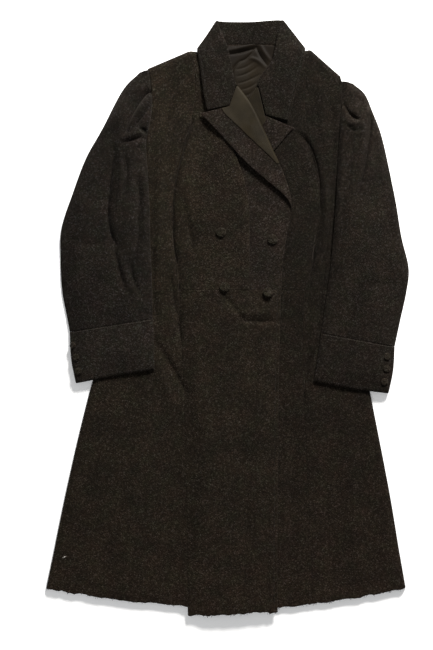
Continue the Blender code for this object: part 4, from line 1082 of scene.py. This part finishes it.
def front(side, bodice, skirt, drop, open_at):
    """Lay all pieces of one front from the same heap, then add them to it."""
    before = heap.copy()
    pieces = []
    out, seam, neck = [column(bodice, i, K_BODY) for i in range(3)]
    right = side == "right"
    seed = 11 if right else 31
    # the wearer's left front takes the darker copies of the tweed, painted shade on the under front
    chest, skirt_look = ("chest", "skirt") if right else ("chest_left_painted_shade", "skirt_left")
    grid = pull_in(across([out, seam], [34]), "start", SEAM_GAP)
    pieces.append(panel("side_front_" + side, grid, before, chest, rolled_to=4 * K_BODY,
                        roll_top=True, seed=seed))
    grid = pull_in(across([seam, neck], [44]), "start", SEAM_GAP)
    pieces.append(panel("forepart_" + side, grid, before, chest, roll_top=True, seed=seed))
    cols = [column(skirt, i, K_SKIRT) for i in range(5)]
    grid = pull_in(across(cols[:3], [24, 24]), "start", SEAM_GAP)
    pieces.append(panel("side_skirt_" + side, grid, before, skirt_look, rolled_to=9999,
                        raw_end=True, seed=seed + 5))
    middle = cols[2].copy()
    middle[-3:, 1] -= drop * np.array([0.2, 0.55, 1.0])
    grid = pull_in(across([middle] + cols[3:], [23, 24]), "start", SEAM_GAP)
    pieces.append(panel("front_skirt_" + side, grid, before, skirt_look, front_edge=True,
                        raw_end=True, seed=seed + 5,
                        groove=GROOVE if right else None))
    for faces in pieces:
        heap.add(*faces)
    sections = fold_sections(bodice, K_BODY)
    toward = 1 if right else -1
    count = len(sections)
    shifted = []
    for i, s in enumerate(sections):
        step = toward * (SEAM_GAP if i < count - 2 * K_BODY else 3 * AIR)
        shifted.append((s[0] + np.array([step, 0.0]),) + s[1:])
    first = shifted[0]
    shifted[0] = tuple(q + np.array([0, SEAM_GAP]) for q in first[:4]) + first[4:]
    row = np.arange(count) / K_BODY
    opening = open_at * np.exp(-((row - 4.1) / 1.1) ** 2)
    p = folded(shifted, [before.field(*STAND_REACH)] * count, [heap] * count, LAPEL_CELLS,
               opening=opening, seed=seed + 9)
    # the fold closes evenly above the break
    low, high = 3 * K_BODY - 4, 5 * K_BODY
    for _ in range(30):
        mean = (p[low - 1:high - 1] + p[low + 1:high + 1]) / 2
        p[low:high] = p[low:high] * 0.5 + mean * 0.5
    flat = heap.copy()
    flat.add(p[:, :LAPEL_CELLS[0] + 1], p[:, :LAPEL_CELLS[0] + 1])
    heap.add(p, p + normals(p) * WOOL * -toward)
    strip_cloth("lapel_" + side, p, LAPEL_CELLS[0], "lapel", 30.0 * toward, "seam")
    return p, flat


behind_left = heap.copy()
lapel_left, flat_left = front("left", LEFT_BODICE, LEFT_SKIRT, 0.0, 1.5)
# the left lapel's facing takes the darker silk, painted shade
silk_on("silk_facing_left", lapel_left, 1, SILK_REACH_LEFT, "silk_under_painted_shade")
behind_right = heap.copy()
lapel_right, flat_right = front("right", RIGHT_BODICE, RIGHT_SKIRT, RIGHT_HEM_DROP, 3.6)
silk_on("silk_facing_right", lapel_right, -1, SILK_REACH_RIGHT, "silk")

# Sleeves
for side, table, cuff, beside, grain in (
        ("right", RIGHT_SLEEVE, RIGHT_CUFF, behind_right, -14.0),
        ("left", LEFT_SLEEVE, LEFT_CUFF, behind_left, 12.0)):
    seed = 51 if side == "right" else 71
    grid = table_grid(table + cuff[1:], K_SLEEVE, [12, 12])
    for edge, inset in (("left", BACK_INSET), ("right", BACK_INSET), ("end", 6.0)):
        grid = pull_in(grid, edge, inset)
    look = "sleeve_" + side
    p, u = lay("under_sleeve_" + side, grid[2 * K_SLEEVE:], heap, look, grain, reach=32.0)
    heap.add(p, u)
    only = beside.copy()
    only.add(p, u)
    top = lay("top_sleeve_" + side, table_grid(table, K_SLEEVE, [34, 34]), heap, look, grain,
              reach=28.0, rolled=("left", "right"), seams=("end",), folds=SLEEVE_FOLDS,
              puff=SLEEVE_PUFF, seat=[row[3] for row in table], beside=only, seed=seed,
              kind="pressed", taper=(1.0, 0.5), brim=BRIM,
              armhole=("right", 5.0) if side == "right" else None)
    end = lay("cuff_" + side, table_grid(cuff, K_CUFF, [20, 20]), heap,
              "cuff_right" if side == "right" else look, grain,
              rolled=("left", "right", "end"), seams=("start",), puff=SLEEVE_PUFF,
              seed=seed + 7, rough=0.8, kind="pressed", taper=(0.5, 0.3))
    heap.add(*top)
    heap.add(*end)

# Collar
cols = [column(COLLAR, i, K_COLLAR) for i in range(4)]
turn = np.interp(np.arange(len(cols[0])) / K_COLLAR, np.arange(len(COLLAR)),
                 [r[4] for r in COLLAR])
sections = list(zip(*cols, turn, [1.0] * len(turn)))
seam_line = np.array([(-24, 519), (4, 521), (88, 521), (108, 519)], float)
roll_line = np.array([(-15, 562), (2, 562), (84, 562), (98, 562)], float)
stand = np.stack([np.insert(line, 2, height + WOOL + 1.2, axis=1)
                  for line, height in zip((seam_line, roll_line), REAR)], axis=1)
maps = []
for below in (behind_right, behind_left):
    below.add(stand, stand, 12)
    maps.append((below.field(*NECK_REACH), below.field(*STAND_REACH)))
unders, overs = [], []
for i in range(len(sections)):
    near, far = maps[0 if i < len(sections) // 2 else 1]
    q = np.interp(min(i, len(sections) - 1 - i) / K_COLLAR, [0, 1, 3, 5], [1.0, 0.9, 0.3, 0.0])
    unders.append(near * (1 - q) + far * q)
    overs.append(flat_right if i < len(sections) // 2 else flat_left)
p = folded(sections, unders, overs, COLLAR_CELLS, rear=REAR, seed=95)
for _ in range(6):
    p[1:-1, :, 2] = p[1:-1, :, 2] * 0.5 + (p[:-2, :, 2] + p[2:, :, 2]) * 0.25
strip_cloth("collar", p, COLLAR_CELLS[0], "collar", 8.0, "bagged")


# Buttons, stitching, loose threads and lint
trees = []
for item in made.values():
    shape = item["object"].data
    trees.append(BVHTree.FromPolygons([v.co.copy() for v in shape.vertices],
                                      [tuple(q.vertices) for q in shape.polygons]))


def drop(x, y):
    """Height of the highest cloth at a point, millimetres."""
    best = 0.0
    for tree in trees:
        hit = tree.ray_cast(Vector(metres((x, y, 100.0))), Vector((0, 0, -1)))[0]
        if hit:
            best = max(best, hit.z / MM)
    return best


# A button's profile from back to front: radius and height as shares, and how much the
# gathers of its cover show there
BUTTON_PROFILE = [(0.30, 0.02, 0.0), (0.62, 0.03, 0.3), (0.86, 0.10, 1.0), (0.97, 0.22, 0.8),
                  (1.0, 0.36, 0.4), (0.96, 0.50, 0.12), (0.86, 0.60, 0.0), (0.70, 0.67, 0.0),
                  (0.50, 0.72, 0.0), (0.28, 0.75, 0.0), (0.10, 0.76, 0.0)]
BUTTON_TOP = 0.765
BUTTON_DEPTH = 0.60   # its height, share of the radius
GATHERS, GATHER_DEPTH, DIMPLE = 12, 0.05, 0.13


def ring_faces(rings, sides, base=0):
    """Faces between rings of so many points."""
    faces = []
    for k in range(rings - 1):
        for i in range(sides):
            a, b = base + k * sides + i, base + k * sides + (i + 1) % sides
            faces.append((a, b, b + sides, a + sides))
    return faces


def button(name, x, y, size, segments=48):
    """Covered button: a low dome of cloth, gathered behind, on a thread shank."""
    rad = size / 2
    ring = [(math.cos(a), math.sin(a)) for a in np.arange(8) * math.pi / 4]
    spots = [(0.0, 0.0)] + ring + [(0.6 * c, 0.6 * d) for c, d in ring]
    heights = [drop(x + rad * c, y + rad * d) for c, d in spots]
    slope = np.linalg.lstsq(np.array([(c * rad, d * rad, 1.0) for c, d in spots]),
                            np.array(heights), rcond=None)[0][:2]
    normal = np.array([-slope[0], -slope[1], 1.0])
    normal /= np.linalg.norm(normal)
    level = max(h - rad * (c * slope[0] + d * slope[1]) for (c, d), h in zip(spots, heights))
    seat = np.array([x, y, level])
    ux = np.array([normal[2], 0.0, -normal[0]])
    ux /= np.linalg.norm(ux)
    uy = np.cross(normal, ux)
    verts, weave = [], []
    for f, h, gather in BUTTON_PROFILE:
        for i in range(segments):
            a = 2 * math.pi * i / segments
            g = 1 + GATHER_DEPTH * gather * math.cos(GATHERS * a)
            spot = np.array([math.cos(a) * f * 9, math.sin(a) * f * 9])
            dimple = DIMPLE * lumps(spot, 3.0, 7)
            p = (seat + rad * f * g * (ux * math.cos(a) + uy * math.sin(a))
                 + normal * (h + dimple * (1 - gather)) * rad * BUTTON_DEPTH)
            verts.append(metres(p))
            weave.append((rad * f * math.cos(a) * MM + x * 0.01, rad * f * math.sin(a) * MM, 0))
    rings = len(BUTTON_PROFILE)
    faces = ring_faces(rings, segments)
    for k, h in ((0, 0.0), (rings - 1, BUTTON_TOP)):
        verts.append(metres(seat + normal * h * rad * BUTTON_DEPTH))
        weave.append((x * 0.01, 0, 0))
        tip = len(verts) - 1
        for i in range(segments):
            j = (i + 1) % segments
            a, b = k * segments + i, k * segments + j
            faces.append((b, a, tip) if k == 0 else (a, b, tip))
    finish_mesh(name, verts, faces, "button", [name], weave)


for name, x, y in COAT_BUTTONS:
    button(name, x, y, COAT_BUTTON)
for name, x, y in CUFF_BUTTONS:
    button(name, x, y, CUFF_BUTTON, 36)


def tubes(name, lines, look, sides=5):
    """Thin round threads along lines of points; each line is (points, radius)."""
    verts, faces = [], []
    for pts, rad in lines:
        pts = np.array(pts, float)
        ahead = np.gradient(pts, axis=0)
        ahead /= np.maximum(np.linalg.norm(ahead, axis=-1, keepdims=True), 1e-9)
        base = len(verts)
        for n, (p, t) in enumerate(zip(pts, ahead)):
            a = np.cross(t, (0.0, 0.0, 1.0))
            if np.linalg.norm(a) < 1e-6:
                a = np.array([1.0, 0.0, 0.0])
            a /= np.linalg.norm(a)
            b = np.cross(a, t)
            r = rad * (0.35 if n in (0, len(pts) - 1) else 1.0)
            for i in range(sides):
                q = 2 * math.pi * i / sides
                verts.append(metres(p + r * (a * math.cos(q) + b * math.sin(q))))
        faces += ring_faces(len(pts), sides, base)
        faces.append(tuple(base + i for i in range(sides))[::-1])
        faces.append(tuple(base + (len(pts) - 1) * sides + i for i in range(sides)))
    finish_mesh(name, verts, faces, look, [])


def travel(line):
    """How far along a line each of its points is."""
    return np.concatenate([[0], np.cumsum(np.linalg.norm(np.diff(line, axis=0), axis=-1))])


def inside_line(outer, side, inset, part):
    """Line on a grid, so many millimetres inside one of its sides."""
    g, _ = turned(outer, side)
    g = g[int(part[0] * (len(g) - 1)):int(part[1] * (len(g) - 1)) + 1]
    line = []
    for row in g:
        a = travel(row)
        if a[-1] < inset * 1.5:
            continue
        line.append([np.interp(inset, a, row[:, c]) for c in range(3)])
    return np.array(line)


def stitches(line, pitch=3.4, gap=1.0, rad=0.24):
    """Short threads along a line, each sinking at its ends."""
    a = travel(line)
    out = []
    for s in np.arange(1.0, a[-1] - pitch, pitch):
        q = s + (pitch - gap) * np.array([0.0, 0.12, 0.5, 0.88, 1.0])
        pts = np.stack([np.interp(q, a, line[:, c]) for c in range(3)], axis=-1)
        pts[:, 2] += np.array([-0.35, 0.0, 1.0, 0.0, -0.35]) * rad + STITCH_PROUD
        out.append((pts, rad))
    return out


# Stitching: piece, side, how far inside it, shares of the side's length
EDGE_STITCHING = [("lapel_right", "right", 5.0, (0.5, 0.98)),
                  ("lapel_left", "right", 5.0, (0.5, 0.98)),
                  ("collar", "right", 5.0, (0.02, 0.98)),
                  ("front_skirt_right", "right", 6.0, (0.0, 0.99)),
                  ("front_skirt_left", "right", 6.0, (0.0, 0.99)),
                  ("cuff_right", "end", 7.0, (0.08, 0.92)), ("cuff_left", "end", 7.0, (0.08, 0.92))]
CUFF_STITCHING = [("cuff_right", "start", 2.0, (0.06, 0.94)),
                  ("cuff_left", "start", 2.0, (0.06, 0.94))]
for title, rows, look, sizes in (
        ("edge_stitching", EDGE_STITCHING, "thread", {}),
        ("cuff_stitching", CUFF_STITCHING, "light_thread", {"pitch": 3.0, "gap": 0.8, "rad": 0.34})):
    seams = []
    for name, side, inset, part in rows:
        seams += stitches(inside_line(made[name]["outer"], side, inset, part), **sizes)
    tubes(title, seams, look)

# Threads at the raw hem
HAIRS_A_PANEL, HAIR_POINTS = 46, 5
rng = np.random.default_rng(17)
hairs = []
for name in ("side_skirt_right", "front_skirt_right", "side_skirt_left", "front_skirt_left"):
    hem = made[name]["outer"][-1]
    for _ in range(HAIRS_A_PANEL):
        t = rng.uniform(0.03, 0.97) * (len(hem) - 1)
        i = int(t)
        p = hem[i] * (1 - t + i) + hem[i + 1] * (t - i) - np.array([0, 0, 0.9])
        long, way = rng.uniform(1.6, 5.5), rng.uniform(-2.3, -0.85)
        bend = rng.uniform(-0.5, 0.5)
        pts = [p + np.array([0, 0.8, 0])]
        for s in range(HAIR_POINTS):
            ang = way + bend * s
            p = p + np.array([math.cos(ang), math.sin(ang), 0.0]) * long / HAIR_POINTS
            p[2] = max(p[2] - 0.22, 0.35)
            pts.append(p.copy())
        hairs.append((pts, rng.uniform(0.16, 0.26)))
tubes("hem_threads", hairs, "thread", sides=4)

# A curl of white lint on the skirt
curl = []
for t in np.linspace(0, 1, 14):
    x, y = -313.0 + 4.5 * t + 1.2 * math.sin(9 * t), -454.0 + 1.6 * math.cos(7 * t)
    curl.append((x, y, drop(x, y) + 0.35 + 0.4 * math.sin(5 * t) ** 2))
tubes("lint", [(curl, 0.34), ([(x + 1.1 - 0.8 * k, y - 0.9 + 0.2 * k, z)
                              for k, (x, y, z) in enumerate(curl[2:8])], 0.28)], "lint")

# Floor, light and camera
mesh = bpy.data.meshes.new("floor")
mesh.from_pydata([(-30, -30, 0), (30, -30, 0), (30, 30, 0), (-30, 30, 0)], [], [(0, 1, 2, 3)])
floor_paint = bpy.data.materials.new("floor_paint")
floor_paint.use_nodes = True
set_inputs(floor_paint.node_tree.nodes["Principled BSDF"],
           {"Base Color": (0.92, 0.92, 0.92, 1), "Roughness": 0.9, "Specular IOR Level": 0.1,
            "Emission Color": (1, 1, 1, 1), "Emission Strength": 0.18})
mesh.materials.append(floor_paint)
floor = add_object("floor", mesh, (0, 0, -0.0004))


def lamp(name, place, target, size, watts, colour):
    data = bpy.data.lights.new(name, "AREA")
    data.shape, data.size, data.energy, data.color = "DISK", size, watts, colour
    ob = add_object(name, data, place)
    ob.rotation_euler = (Vector(target) - Vector(place)).to_track_quat("-Z", "Y").to_euler()


lamp("key", (0.95, 2.6, 1.6), (0.0, 0.05, 0.0), 0.8, 272.0, (1.0, 0.98, 0.95))
lamp("fill", (-0.8, -1.6, 2.8), (0.0, -0.3, 0.0), 1.8, 16.0, (0.94, 0.97, 1.0))
world = bpy.data.worlds.new("studio")
world.use_nodes = True
set_inputs(world.node_tree.nodes["Background"], {"Color": (1.0, 1.0, 1.0, 1.0),
                                                 "Strength": 0.28})
bpy.context.scene.world = world
bpy.context.scene.view_settings.view_transform = "Standard"

CAMERA_X, CAMERA_Y, CAMERA_HEIGHT = -20.9, -11.9, 3612.0
CLOTH_HEIGHT = 12.0
TALL_FIELD = 1235.0   # what the photograph's 650 pixels show, at the cloth's height
lens = bpy.data.cameras.new("camera")
lens.sensor_width = 36.0
lens.lens = lens.sensor_width * (CAMERA_HEIGHT - CLOTH_HEIGHT) / TALL_FIELD
lens.clip_end = 100.0
camera = add_object("camera", lens, (CAMERA_X * MM, CAMERA_Y * MM, CAMERA_HEIGHT * MM))
bpy.context.scene.camera = camera
